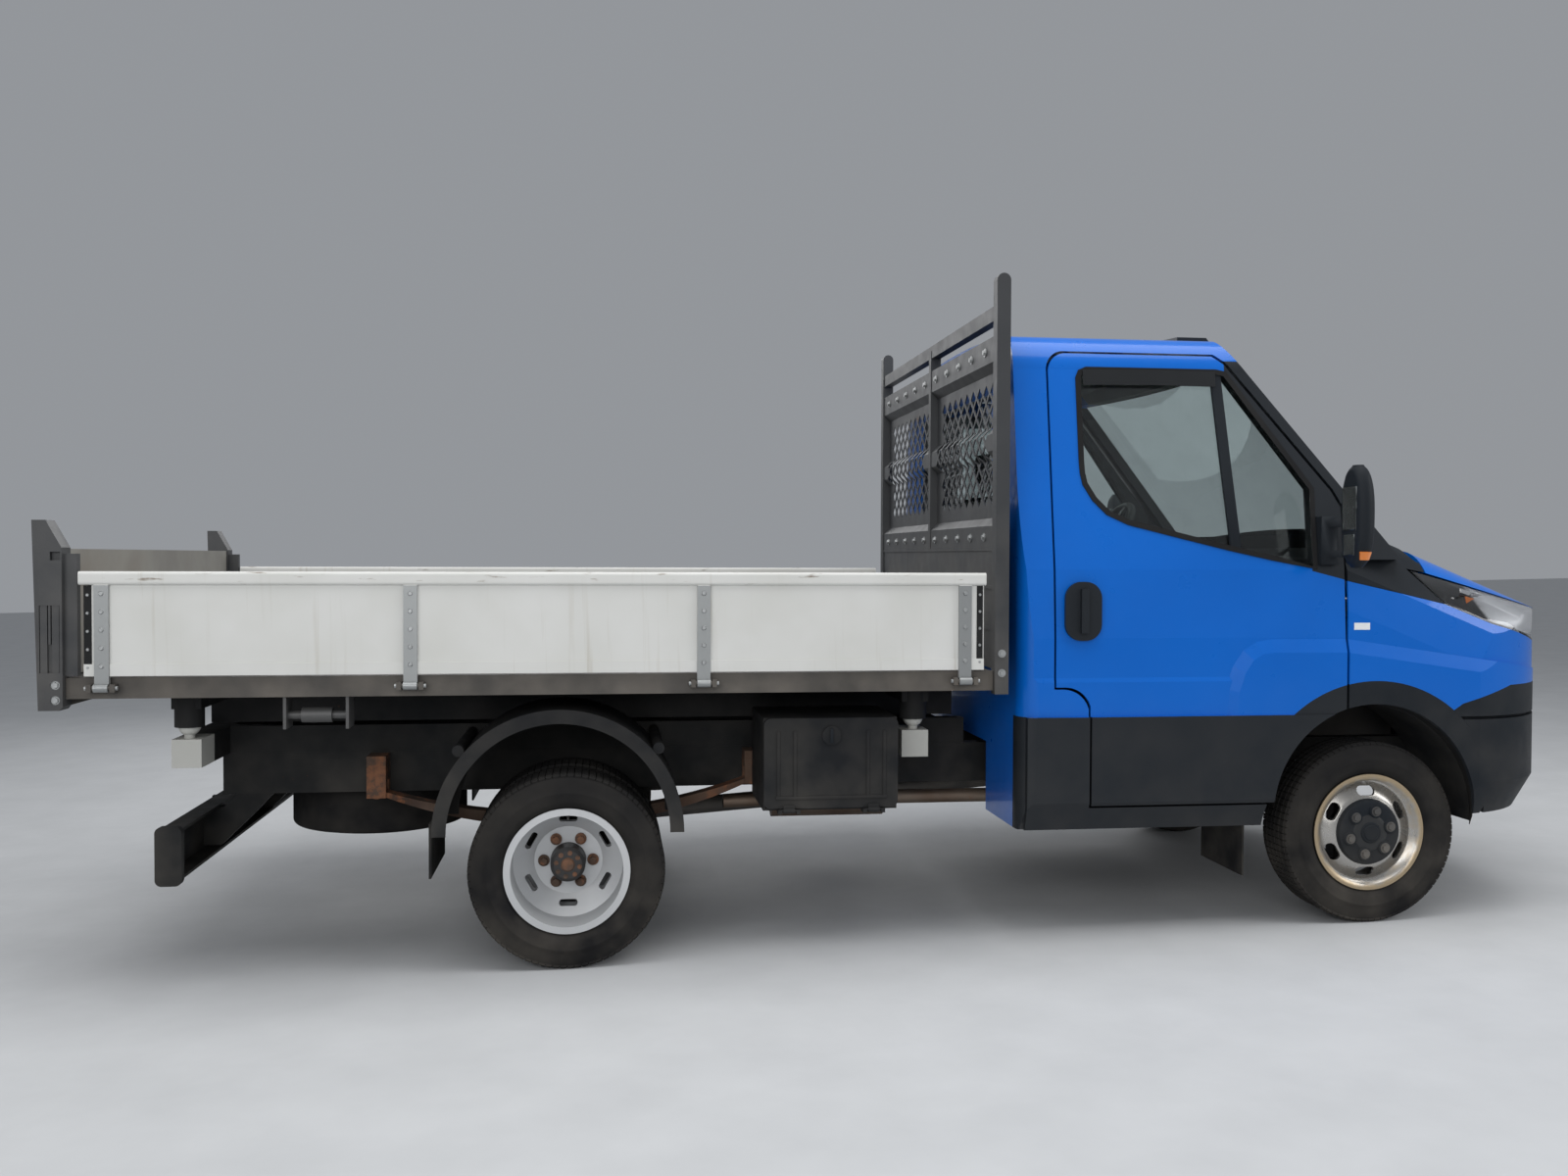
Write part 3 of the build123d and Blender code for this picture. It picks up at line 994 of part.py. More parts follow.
def main():
    os.makedirs("parts", exist_ok=True)
    for name, shapes in truck().items():
        export_step(Compound(children=list(shapes)) if len(shapes) > 1 else shapes[0], f"parts/{name}.step")


if __name__ == "__main__":
    main()
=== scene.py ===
# %% [markdown]
# # A light tipper truck, dressed for a picture
# The truck comes out of the CAD as plain solids that already have the right size and move on the
# right hinges. This lesson gives them paint, rubber, glass and rust, and adds the small things that
# a workshop bolts on afterwards: rivets, straps, tread, lamps and seals. Every piece stays in the
# CAD's own frame, in metres, and rides on the body that carries it.

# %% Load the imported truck
import json
import math

import bmesh
import bpy
from mathutils import Matrix, Vector


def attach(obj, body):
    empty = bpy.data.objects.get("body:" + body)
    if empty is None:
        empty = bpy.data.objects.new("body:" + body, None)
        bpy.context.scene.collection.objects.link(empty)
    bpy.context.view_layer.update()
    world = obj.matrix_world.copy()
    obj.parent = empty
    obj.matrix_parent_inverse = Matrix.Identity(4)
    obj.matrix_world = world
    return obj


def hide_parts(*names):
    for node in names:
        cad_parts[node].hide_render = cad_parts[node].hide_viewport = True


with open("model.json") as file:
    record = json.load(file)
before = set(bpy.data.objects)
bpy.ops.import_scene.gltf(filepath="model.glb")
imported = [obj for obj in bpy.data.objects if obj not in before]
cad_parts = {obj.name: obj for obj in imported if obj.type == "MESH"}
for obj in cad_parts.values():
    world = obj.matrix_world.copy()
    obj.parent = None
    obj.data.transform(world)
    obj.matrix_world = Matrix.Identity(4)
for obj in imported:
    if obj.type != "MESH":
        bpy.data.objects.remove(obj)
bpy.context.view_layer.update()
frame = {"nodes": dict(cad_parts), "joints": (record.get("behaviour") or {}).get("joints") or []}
nodes = frame["nodes"]

# %% [markdown]
# The truck stands nose-down by a little more than a degree, as an empty one does. Its pieces are
# far easier to think about when the frame rails are level, with zero at the rear axle, so new
# pieces are drawn level and one matrix puts them on the leaning truck.

# %% The leaning matrix
RAKE = math.radians(1.25)
AXLE = Vector((0.0, 0.0, 0.343))
hinges = {joint["name"]: joint for joint in frame["joints"]}
MIDDLE = Vector((-hinges["rear_wheels_right_spin"]["pos_m"][0], 0.0, 0.0))
STAND = (Matrix.Translation(AXLE - MIDDLE) @ Matrix.Rotation(RAKE, 4, "Y")
         @ Matrix.Translation(-AXLE))
WHEELBASE = 3.0
FRONT_AXLE = Vector((WHEELBASE, 0.0, 0.343 + WHEELBASE * math.tan(RAKE)))
SIDES = {"right": -1.0, "left": 1.0}
print("front axle, level:", tuple(round(v, 4) for v in FRONT_AXLE))

# %% [markdown]
# The camera stands where the photographer stood: a little above waist height, level with the rear
# wheel, turned slightly towards the cab. A plain focal length does it, with no shift and no
# depth of field, so that other views can borrow the same camera.

# %% Camera
def look(yaw, pitch, roll):
    """A camera's turn, from the way it looks: yaw from +Y to +X, pitch down, roll of the horizon."""
    ahead = Vector((math.sin(yaw) * math.cos(pitch), math.cos(yaw) * math.cos(pitch), -math.sin(pitch)))
    right = Vector((math.cos(yaw), -math.sin(yaw), 0.0))
    up = right.cross(ahead)
    turn_right = right * math.cos(roll) + up * math.sin(roll)
    turn_up = up * math.cos(roll) - right * math.sin(roll)
    return Matrix((turn_right, turn_up, -ahead)).transposed().to_4x4()


camera_data = bpy.data.cameras.new("camera")
camera_data.sensor_width = 36.0
camera_data.sensor_fit = "HORIZONTAL"
camera_data.lens = 1400.08 * 36.0 / 1600.0
camera = bpy.data.objects.new("camera", camera_data)
bpy.context.collection.objects.link(camera)
CAMERA_SPOT = Vector((0.1574, -5.7918, 1.4405)) - MIDDLE
CAMERA_TURN = (7.376, 1.468, -1.0475)
camera.matrix_world = Matrix.Translation(CAMERA_SPOT) @ look(*(math.radians(a) for a in CAMERA_TURN))
bpy.context.scene.camera = camera
print("camera at", tuple(round(v, 3) for v in CAMERA_SPOT), "lens", round(camera_data.lens, 2))

# %% [markdown]
# Studio light: one wide soft panel above and towards the viewer does most of the work, a second
# one low at the side lifts the running gear, and a pale world fills the rest.

# %% Floor, lights and world
def soft_light(name, spot, aim, size, power):
    """A square area light at a spot, aimed at a point."""
    data = bpy.data.lights.new(name, "AREA")
    data.shape = "RECTANGLE"
    data.size, data.size_y = size
    data.energy = power
    lamp = bpy.data.objects.new(name, data)
    turn = (Vector(aim) - Vector(spot)).to_track_quat("-Z", "Y").to_matrix().to_4x4()
    lamp.matrix_world = Matrix.Translation(spot) @ turn
    bpy.context.collection.objects.link(lamp)


soft_light("light_above", (0.0, -1.5, 6.5), (0.0, 0.0, 0.8), (9.0, 5.0), 400.0)
soft_light("light_viewer", (-2.5, -7.5, 3.2), (0.0, 0.0, 1.0), (7.0, 3.0), 215.0)
soft_light("light_front", (6.5, -3.0, 3.0), (1.5, 0.0, 1.2), (3.0, 3.0), 110.0)
soft_light("light_far", (-1.0, 7.0, 4.5), (0.0, 0.0, 1.0), (7.0, 3.0), 150.0)
world = bpy.data.worlds.new("studio")
world.use_nodes = True
world.node_tree.nodes["Background"].inputs["Color"].default_value = (0.86, 0.9, 0.96, 1.0)
world.node_tree.nodes["Background"].inputs["Strength"].default_value = 0.34
bpy.context.scene.world = world
bpy.context.scene.view_settings.view_transform = "Standard"

floor_mesh = bpy.data.meshes.new("floor")
floor_bm = bmesh.new()
bmesh.ops.create_grid(floor_bm, x_segments=2, y_segments=2, size=40.0)
floor_bm.to_mesh(floor_mesh)
floor_bm.free()
floor = bpy.data.objects.new("floor", floor_mesh)
bpy.context.collection.objects.link(floor)

# %% [markdown]
# Materials share a few effects, and each effect is one node group: where a point lies on the level
# truck, how much road dust settles there, and where rust breaks through. A material places the
# groups with its own values and keeps its shader to itself.

# %% Helpers for shader trees
def value_node(tree, kind, operation, inputs, **settings):
    """A node with its operation set and its sockets linked or filled in order."""
    node = tree.nodes.new(kind)
    if operation:
        node.operation = operation
    for key, setting in settings.items():
        setattr(node, key, setting)
    for socket, source in zip(node.inputs, inputs):
        if source is None:
            continue
        if hasattr(source, "is_linked"):
            tree.links.new(source, socket)
        else:
            socket.default_value = source
    return node.outputs[0]


def math_node(tree, operation, *inputs):
    return value_node(tree, "ShaderNodeMath", operation, inputs)


def noise(tree, where, scale, detail=3.0, rough=0.55):
    """A noise pattern's grey value on given coordinates."""
    node = tree.nodes.new("ShaderNodeTexNoise")
    node.inputs["Scale"].default_value = scale
    node.inputs["Detail"].default_value = detail
    node.inputs["Roughness"].default_value = rough
    tree.links.new(where, node.inputs["Vector"])
    return node.outputs["Fac"]


def ramp(tree, source, low, high):
    """A grey value stretched so that low gives 0 and high gives 1, held at both ends."""
    node = tree.nodes.new("ShaderNodeMapRange")
    for name, number in (("From Min", low), ("From Max", high)):
        if hasattr(number, "is_linked"):
            tree.links.new(number, node.inputs[name])
        else:
            node.inputs[name].default_value = number
    tree.links.new(source, node.inputs["Value"])
    return node.outputs["Result"]


def blend_colour(tree, mask, first, second):
    """Two colours mixed by a mask; each is a socket or a plain colour."""
    node = tree.nodes.new("ShaderNodeMix")
    node.data_type = "RGBA"
    for socket, source in ((node.inputs["Factor"], mask), (node.inputs[6], first), (node.inputs[7], second)):
        if hasattr(source, "is_linked"):
            tree.links.new(source, socket)
        else:
            socket.default_value = source if isinstance(source, float) else (*source, 1.0)
    return node.outputs[2]


def new_group(name, inputs, outputs):
    """An empty shader group with named sockets; inputs are (name, default)."""
    group = bpy.data.node_groups.new(name, "ShaderNodeTree")
    for label, default in inputs:
        kind = "NodeSocketFloat" if isinstance(default, float) else "NodeSocketColor"
        socket = group.interface.new_socket(label, in_out="INPUT", socket_type=kind)
        socket.default_value = default
    for label in outputs:
        group.interface.new_socket(label, in_out="OUTPUT", socket_type="NodeSocketFloat")
    return group, group.nodes.new("NodeGroupInput"), group.nodes.new("NodeGroupOutput")


# %% Level position: where a point lies on the level truck
level_group, _, level_out = new_group("level_position", [], ["X", "Y", "Z"])
place = level_group.nodes.new("ShaderNodeTexCoord").outputs["Object"]
moved = value_node(level_group, "ShaderNodeVectorMath", "ADD", (place, MIDDLE))
turned = level_group.nodes.new("ShaderNodeVectorRotate")
turned.rotation_type = "Y_AXIS"
turned.inputs["Center"].default_value = AXLE
turned.inputs["Angle"].default_value = -RAKE
level_group.links.new(moved, turned.inputs["Vector"])
parts = level_group.nodes.new("ShaderNodeSeparateXYZ")
level_group.links.new(turned.outputs[0], parts.inputs[0])
for axis in "XYZ":
    level_group.links.new(parts.outputs[axis], level_out.inputs[axis])

# %% Road dust: more of it low down, in soft patches
dust_group, dust_in, dust_out = new_group(
    "road_dust", [("Amount", 0.5), ("Low", 0.3), ("High", 1.2), ("Patch", 6.0)], ["Mask"])
place = dust_group.nodes.new("ShaderNodeTexCoord").outputs["Object"]
height = dust_group.nodes.new("ShaderNodeSeparateXYZ")
dust_group.links.new(place, height.inputs[0])
falling = ramp(dust_group, height.outputs["Z"], dust_in.outputs["High"], dust_in.outputs["Low"])
patch = dust_group.nodes.new("ShaderNodeTexNoise")
patch.inputs["Detail"].default_value = 4.0
dust_group.links.new(place, patch.inputs["Vector"])
dust_group.links.new(dust_in.outputs["Patch"], patch.inputs["Scale"])
patches = ramp(dust_group, patch.outputs["Fac"], 0.35, 0.75)
mask = math_node(dust_group, "MULTIPLY", math_node(dust_group, "MULTIPLY", falling, patches),
                 dust_in.outputs["Amount"])
dust_group.links.new(mask, dust_out.inputs["Mask"])

# %% Rust: small sharp islands, from none to many
rust_group, rust_in, rust_out = new_group("rust_spots", [("Amount", 0.3), ("Size", 30.0)], ["Mask", "Grain"])
place = rust_group.nodes.new("ShaderNodeTexCoord").outputs["Object"]
wide = noise(rust_group, place, 3.5, 2.0)
fine = rust_group.nodes.new("ShaderNodeTexNoise")
fine.inputs["Detail"].default_value = 6.0
fine.inputs["Roughness"].default_value = 0.7
rust_group.links.new(place, fine.inputs["Vector"])
rust_group.links.new(rust_in.outputs["Size"], fine.inputs["Scale"])
mixed = math_node(rust_group, "ADD", math_node(rust_group, "MULTIPLY", wide, 0.55),
                  math_node(rust_group, "MULTIPLY", fine.outputs["Fac"], 0.45))
edge = math_node(rust_group, "SUBTRACT", 0.86,
                 math_node(rust_group, "MULTIPLY", rust_in.outputs["Amount"], 0.5))
spots = ramp(rust_group, mixed, edge, math_node(rust_group, "ADD", edge, 0.06))
rust_group.links.new(spots, rust_out.inputs["Mask"])
rust_group.links.new(fine.outputs["Fac"], rust_out.inputs["Grain"])
print("groups:", [group.name for group in bpy.data.node_groups])

# %% [markdown]
# One recipe serves nearly every surface of a working truck: two close tints in soft clouds, a fine
# grain, then zones of another finish (black cladding on a blue door, a galvanised strap on a white
# board), then rust, then dust on top. Each finish below is that recipe with its own values.

# %% The recipe for a worn finish
DUST_TINT = (0.30, 0.265, 0.22)
RUST_TINTS = ((0.055, 0.018, 0.009), (0.27, 0.10, 0.035))


def mix_value(tree, mask, first, second):
    """Two numbers mixed by a mask; each is a socket or a plain number."""
    node = tree.nodes.new("ShaderNodeMix")
    for socket, source in zip(node.inputs[:1] + node.inputs[2:4], (mask, first, second)):
        if hasattr(source, "is_linked"):
            tree.links.new(source, socket)
        else:
            socket.default_value = source
    return node.outputs[0]


def place_group(tree, group, **values):
    """A group placed in a material with its own input values; returns its outputs."""
    node = tree.nodes.new("ShaderNodeGroup")
    node.node_tree = group
    for name, number in values.items():
        node.inputs[name.capitalize()].default_value = number
    return node.outputs


def fill(tree, shader, socket, source):
    """A shader's socket set to a plain value, or linked to what varies."""
    if hasattr(source, "is_linked"):
        tree.links.new(source, shader.inputs[socket])
    else:
        shader.inputs[socket].default_value = source


def finish(name, tints, rough, metal=0.0, coat=0.0, cloud=3.0, grain=(400.0, 0.08), zones=(), rust=None,
           dust=None, shine=0.5):
    """A material from the recipe. A zone is (mask maker, tint, rough, metal, coat)."""
    material = bpy.data.materials.new(name)
    material.use_nodes = True
    tree = material.node_tree
    shader = tree.nodes["Principled BSDF"]
    place = tree.nodes.new("ShaderNodeTexCoord").outputs["Object"]
    colour = blend_colour(tree, ramp(tree, noise(tree, place, cloud), 0.3, 0.7), *tints)
    roughness = ramp(tree, noise(tree, place, cloud * 5.0), 0.2, 0.8)
    roughness = mix_value(tree, roughness, rough * 0.85, min(1.0, rough * 1.15))
    metallic, clear = metal, coat
    for mask_maker, tint, zone_rough, zone_metal, zone_coat in zones:
        mask = mask_maker(tree)
        colour = blend_colour(tree, mask, colour, tint)
        roughness = mix_value(tree, mask, roughness, zone_rough)
        if zone_metal != metal or hasattr(metallic, "is_linked"):
            metallic = mix_value(tree, mask, metallic, zone_metal)
        if zone_coat != coat or hasattr(clear, "is_linked"):
            clear = mix_value(tree, mask, clear, zone_coat)
    if rust:
        spots, rust_grain = place_group(tree, rust_group, amount=rust[0], size=rust[1])
        colour = blend_colour(tree, spots, colour, blend_colour(tree, rust_grain, *RUST_TINTS))
        roughness = mix_value(tree, spots, roughness, 0.85)
        if metal or hasattr(metallic, "is_linked"):
            metallic = mix_value(tree, spots, metallic, 0.0)
    if dust:
        settled = place_group(tree, dust_group, amount=dust[0], low=dust[1], high=dust[2])[0]
        colour = blend_colour(tree, settled, colour, DUST_TINT)
        roughness = mix_value(tree, settled, roughness, 0.9)
    for socket, source in (("Base Color", colour), ("Roughness", roughness), ("Metallic", metallic),
                           ("Coat Weight", clear)):
        fill(tree, shader, socket, source)
    shader.inputs["Coat Roughness"].default_value = 0.04
    shader.inputs["Specular IOR Level"].default_value = shine
    bump = tree.nodes.new("ShaderNodeBump")
    bump.inputs["Strength"].default_value = grain[1]
    bump.inputs["Distance"].default_value = 0.002
    tree.links.new(noise(tree, place, grain[0], 2.0), bump.inputs["Height"])
    tree.links.new(bump.outputs[0], shader.inputs["Normal"])
    return material


# %% [markdown]
# A zone is a mask worked out from where a point lies on the level truck. Comparing coordinates is
# crude, but on a truck the borders between finishes really are straight panel edges.

# %% Masks for zones
def axes(tree):
    """X, Y and Z on the level truck, and the distance from the middle plane."""
    x, y, z = place_group(tree, level_group)
    return x, y, z, math_node(tree, "ABSOLUTE", y)


def over(tree, value, limit):
    return math_node(tree, "GREATER_THAN", value, limit)


def under(tree, value, limit):
    return math_node(tree, "LESS_THAN", value, limit)


def both(tree, *masks):
    """Where every mask is white."""
    result = masks[0]
    for mask in masks[1:]:
        result = math_node(tree, "MULTIPLY", result, mask)
    return result


def either(tree, *masks):
    """Where any mask is white."""
    result = masks[0]
    for mask in masks[1:]:
        result = math_node(tree, "MAXIMUM", result, mask)
    return result


def ring_distance(tree, across, upward, centre):
    """How far a point lies from a centre, seen from the side."""
    a = math_node(tree, "SUBTRACT", across, centre[0])
    b = math_node(tree, "SUBTRACT", upward, centre[1])
    return math_node(tree, "SQRT", math_node(tree, "ADD", math_node(tree, "MULTIPLY", a, a),
                                            math_node(tree, "MULTIPLY", b, b)))


CLAD_TOP = 0.864
ARCH_CENTRE, TRIM_R = (2.99, 0.497), 0.49
CAB_HALF = 0.99
BELT_Z, WINDOW_TOP_Z, WINDOW_TOP_Y = 1.4, 2.14, 0.868


def cladding(tree):
    """The black lower panels of doors and cab, and the flare over the front wheel."""
    x, y, z, out = axes(tree)
    arch = under(tree, ring_distance(tree, x, z, ARCH_CENTRE), TRIM_R)
    return both(tree, either(tree, under(tree, z, CLAD_TOP), arch), over(tree, out, 0.9))


def cab_inside(tree):
    """Everything that lies within the cab's skin."""
    x, y, z, out = axes(tree)
    lean = ramp(tree, z, BELT_Z, WINDOW_TOP_Z)
    skin = mix_value(tree, lean, CAB_HALF - 0.03, WINDOW_TOP_Y - 0.03)
    return both(tree, under(tree, math_node(tree, "SUBTRACT", out, skin), 0.0), under(tree, z, 2.13),
                over(tree, x, 1.635))


def handle_or_visor(tree):
    """The door handle on its bezel, and the visor on the roof's front edge."""
    x, y, z, out = axes(tree)
    handle = both(tree, over(tree, out, CAB_HALF + 0.0002), over(tree, x, 1.78), under(tree, x, 1.925),
                  over(tree, z, 1.13),
                  under(tree, z, 1.37))
    visor = both(tree, over(tree, x, 2.351), over(tree, z, 2.2615), under(tree, out, 0.6405))
    return either(tree, handle, visor)


def front_pillar(tree):
    """The black front pillar, from the roof down to the corner ahead of the mirror."""
    x, y, z, out = axes(tree)
    ahead = math_node(tree, "ADD", math_node(tree, "MULTIPLY", x, 0.8036),
                      math_node(tree, "MULTIPLY", z, 0.5952))
    slant = both(tree, over(tree, ahead, 3.2225), under(tree, z, 2.185), over(tree, z, 1.55),
                 over(tree, x, 2.44))
    low_edge = math_node(tree, "ADD", z, math_node(tree, "MULTIPLY", x, 0.25))
    corner = both(tree, over(tree, x, 2.745), over(tree, low_edge, 2.083), under(tree, z, 1.75))
    return both(tree, either(tree, slant, corner), over(tree, out, 0.5))


def ceiling(tree):
    x, y, z, out = axes(tree)
    return both(tree, over(tree, x, 1.64), under(tree, z, 2.268), under(tree, out, 0.69), over(tree, z, 2.0))


# %% Finishes of the cab
BLUE = ((0.0002, 0.112, 0.50), (0.0003, 0.118, 0.52))
BLACK_TRIM = (0.012, 0.015, 0.019)
cab_zones = ((cladding, BLACK_TRIM, 0.5, 0.0, 0.0), (handle_or_visor, BLACK_TRIM, 0.45, 0.0, 0.0),
             (front_pillar, BLACK_TRIM, 0.4, 0.0, 0.2), (ceiling, (0.22, 0.22, 0.21), 0.8, 0.0, 0.0),
             (cab_inside, (0.035, 0.037, 0.04), 0.7, 0.0, 0.0))
blue_paint = finish("blue_paint", BLUE, 0.3, coat=0.3, grain=(60.0, 0.012), zones=cab_zones,
                    dust=(0.05, 0.4, 1.0), shine=0.25)
blue_panel = finish("blue_panel", BLUE, 0.3, coat=0.3, grain=(60.0, 0.012), dust=(0.05, 0.4, 1.0), shine=0.25)
black_plastic = finish("black_plastic", (BLACK_TRIM, (0.016, 0.019, 0.023)), 0.52, grain=(900.0, 0.2),
                       dust=(0.10, 0.2, 1.1), shine=0.1)
dusty_plastic = finish("dusty_plastic", ((0.013, 0.014, 0.016), (0.02, 0.021, 0.022)), 0.6,
                       grain=(700.0, 0.25), dust=(0.18, 0.1, 1.2), shine=0.1)
inside_plastic = finish("inside_plastic", ((0.03, 0.032, 0.035), (0.042, 0.044, 0.047)), 0.65,
                        grain=(1200.0, 0.3))
print("cab finishes:",
      [m.name for m in (blue_paint, blue_panel, black_plastic, dusty_plastic, inside_plastic)])

# %% [markdown]
# Glass stays simple: full transmission, a faint green tint, and a light smear in its colour and
# roughness.

# %% Glass and lamps
def clear_glass(name, tint, rough=0.0):
    """See-through glass or lens plastic."""
    material = bpy.data.materials.new(name)
    material.use_nodes = True
    tree = material.node_tree
    shader = tree.nodes["Principled BSDF"]
    shader.inputs["Transmission Weight"].default_value = 1.0
    shader.inputs["IOR"].default_value = 1.45
    place = tree.nodes.new("ShaderNodeTexCoord").outputs["Object"]
    smear = ramp(tree, noise(tree, place, 9.0, 4.0), 0.45, 0.8)
    tree.links.new(blend_colour(tree, smear, tint, tuple(0.94 * c for c in tint)),
                   shader.inputs["Base Color"])
    tree.links.new(mix_value(tree, smear, rough, rough + 0.05), shader.inputs["Roughness"])
    return material


window_glass = clear_glass("window_glass", (0.80, 0.87, 0.86))
lens_plastic = clear_glass("lens_plastic", (0.95, 0.96, 0.97))
red_lens = finish("red_lens", ((0.32, 0.008, 0.008), (0.42, 0.012, 0.01)), 0.18, coat=0.8,
                  grain=(160.0, 0.25))
amber_lens = finish("amber_lens", ((0.62, 0.16, 0.012), (0.7, 0.2, 0.02)), 0.16, coat=0.8,
                    grain=(160.0, 0.25))
white_lens = finish("white_lens", ((0.72, 0.74, 0.75), (0.8, 0.82, 0.83)), 0.16, coat=0.8,
                    grain=(160.0, 0.25))
chrome = finish("chrome", ((0.72, 0.73, 0.74), (0.8, 0.8, 0.81)), 0.08, metal=1.0, grain=(200.0, 0.01))
mirror_silver = finish("mirror_silver", ((0.10, 0.11, 0.12), (0.12, 0.13, 0.13)), 0.03, metal=1.0,
                       grain=(50.0, 0.0))

# %% Finishes of frame and running gear
frame_black = finish("frame_black", ((0.012, 0.013, 0.014), (0.022, 0.022, 0.022)), 0.55, grain=(120.0, 0.15),
                     rust=(0.42, 28.0), dust=(0.16, 0.1, 1.1), shine=0.1)
cast_grey = finish("cast_grey", ((0.07, 0.07, 0.07), (0.11, 0.105, 0.1)), 0.65, metal=0.5, grain=(180.0, 0.4),
                   rust=(0.45, 30.0), dust=(0.4, 0.2, 1.2))
rusty_steel = finish("rusty_steel", ((0.045, 0.026, 0.018), (0.10, 0.05, 0.028)), 0.85, grain=(140.0, 0.5),
                     rust=(0.7, 24.0), dust=(0.4, 0.1, 1.0))
hot_pipe = finish("hot_pipe", ((0.15, 0.10, 0.07), (0.24, 0.19, 0.15)), 0.5, metal=0.7, grain=(90.0, 0.15),
                  rust=(0.5, 20.0), dust=(0.4, 0.1, 0.9))
galvanised = finish("galvanised", ((0.30, 0.31, 0.31), (0.42, 0.43, 0.43)), 0.45, metal=0.8, cloud=40.0,
                    grain=(220.0, 0.1), rust=(0.24, 60.0))
ram_chrome = finish("ram_chrome", ((0.62, 0.63, 0.65), (0.72, 0.72, 0.73)), 0.12, metal=1.0,
                    grain=(300.0, 0.02))
tyre_rubber = finish("tyre_rubber", ((0.012, 0.012, 0.013), (0.022, 0.021, 0.02)), 0.8, grain=(300.0, 0.25),
                     dust=(0.16, 0.05, 0.75), shine=0.08)
flap_rubber = finish("flap_rubber", ((0.014, 0.014, 0.015), (0.02, 0.02, 0.02)), 0.75, grain=(240.0, 0.3),
                     dust=(0.2, 0.1, 0.8), shine=0.08)


def ball_box(tree):
    """The ends of the two pivot tubes, which the maker painted pale grey."""
    return over(tree, axes(tree)[3], 0.64)


def roller_zone(tree):
    """The galvanised rollers and cups outside the bed's main beams."""
    return over(tree, axes(tree)[3], 0.87)


subframe_black = finish("subframe_black", ((0.012, 0.013, 0.014), (0.022, 0.022, 0.022)), 0.55,
                        grain=(120.0, 0.15), zones=((ball_box, (0.5, 0.5, 0.47), 0.6, 0.0, 0.0),),
                        rust=(0.40, 30.0), dust=(0.12, 0.2, 1.1), shine=0.1)
beam_black = finish("beam_black", ((0.012, 0.013, 0.014), (0.02, 0.02, 0.021)), 0.55, grain=(120.0, 0.15),
                    zones=((roller_zone, (0.1, 0.1, 0.1), 0.5, 0.5, 0.0),), rust=(0.40, 30.0),
                    dust=(0.12, 0.2, 1.2), shine=0.1)

# %% [markdown]
# The silver rims are worn unevenly: the dish of a rear wheel is plain grey paint, while the front
# rims have rusted brown on their edge. Both masks come from the distance to the wheel's centre.

# %% Rims
def rim_edge(centre, inner):
    """A mask maker for the outer edge of a rim."""
    def mask(tree):
        x, y, z, out = axes(tree)
        place = tree.nodes.new("ShaderNodeTexCoord").outputs["Object"]
        ragged = math_node(tree, "MULTIPLY", noise(tree, place, 26.0, 4.0), 0.03)
        reach = math_node(tree, "ADD", ring_distance(tree, x, z, centre), ragged)
        return ramp(tree, reach, inner, inner + 0.016)
    return mask


def hub_zone(centre, radius):
    """A mask maker for the black hub in the middle of a wheel."""
    def mask(tree):
        x, y, z, out = axes(tree)
        return under(tree, ring_distance(tree, x, z, centre), radius)
    return mask


SILVER = ((0.48, 0.49, 0.5), (0.56, 0.57, 0.58))
REAR_CENTRE, FRONT_CENTRE = (0.0, AXLE.z), (FRONT_AXLE.x, FRONT_AXLE.z)
rear_silver = finish("rear_silver", SILVER, 0.42, metal=0.35, grain=(180.0, 0.05),
                     zones=((hub_zone(REAR_CENTRE, 0.064), (0.016, 0.016, 0.017), 0.5, 0.0, 0.0),),
                     rust=(0.27, 50.0), dust=(0.12, 0.0, 0.7))
front_silver = finish("front_silver", ((0.36, 0.345, 0.32), (0.46, 0.445, 0.42)), 0.27, metal=0.85,
                      grain=(180.0, 0.03),
                      zones=((rim_edge(FRONT_CENTRE, 0.208), (0.42, 0.33, 0.215), 0.4, 0.7, 0.0),
                             (hub_zone(FRONT_CENTRE, 0.104), (0.014, 0.015, 0.016), 0.45, 0.0, 0.0)),
                      rust=(0.30, 60.0))

# %% [markdown]
# The bed takes the beating: anthracite steel with rust at its edges, a scoured floor, and white
# boards with dirt that has run down from the cap in streaks.

# %% Finishes of the bed
STRAPS, STRAP_HALF = (-1.512, -0.522, 0.472, 1.404), 0.0235
BOARD_OUT, CAP_BOTTOM = 1.0228, 1.3425


def strap_zone(tree):
    """The galvanised straps riveted down the boards, and the hinge rolls at their feet."""
    x, y, z, out = axes(tree)
    lines = either(tree,
                   *(under(tree, math_node(tree, "ABSOLUTE", math_node(tree, "SUBTRACT", x, place)),
                           STRAP_HALF)
                           for place in STRAPS))
    return both(tree, lines, over(tree, out, BOARD_OUT), under(tree, z, CAP_BOTTOM))


def streaks(tree):
    """Dirt that has run down: noise stretched along the height."""
    place = tree.nodes.new("ShaderNodeTexCoord").outputs["Object"]
    stretch = tree.nodes.new("ShaderNodeMapping")
    stretch.inputs["Scale"].default_value = (42.0, 1.0, 1.1)
    tree.links.new(place, stretch.inputs["Vector"])
    lines = ramp(tree, noise(tree, stretch.outputs[0], 1.0, 4.0), 0.56, 0.82)
    return both(tree, lines, ramp(tree, noise(tree, place, 1.7, 2.0), 0.40, 0.72))


def cap_scuffs(tree):
    """Scratches along the top cap, down to dull metal."""
    place = tree.nodes.new("ShaderNodeTexCoord").outputs["Object"]
    stretch = tree.nodes.new("ShaderNodeMapping")
    stretch.inputs["Scale"].default_value = (9.0, 60.0, 60.0)
    tree.links.new(place, stretch.inputs["Vector"])
    return both(tree, ramp(tree, noise(tree, stretch.outputs[0], 1.0, 5.0), 0.62, 0.72),
                over(tree, axes(tree)[2], CAP_BOTTOM))


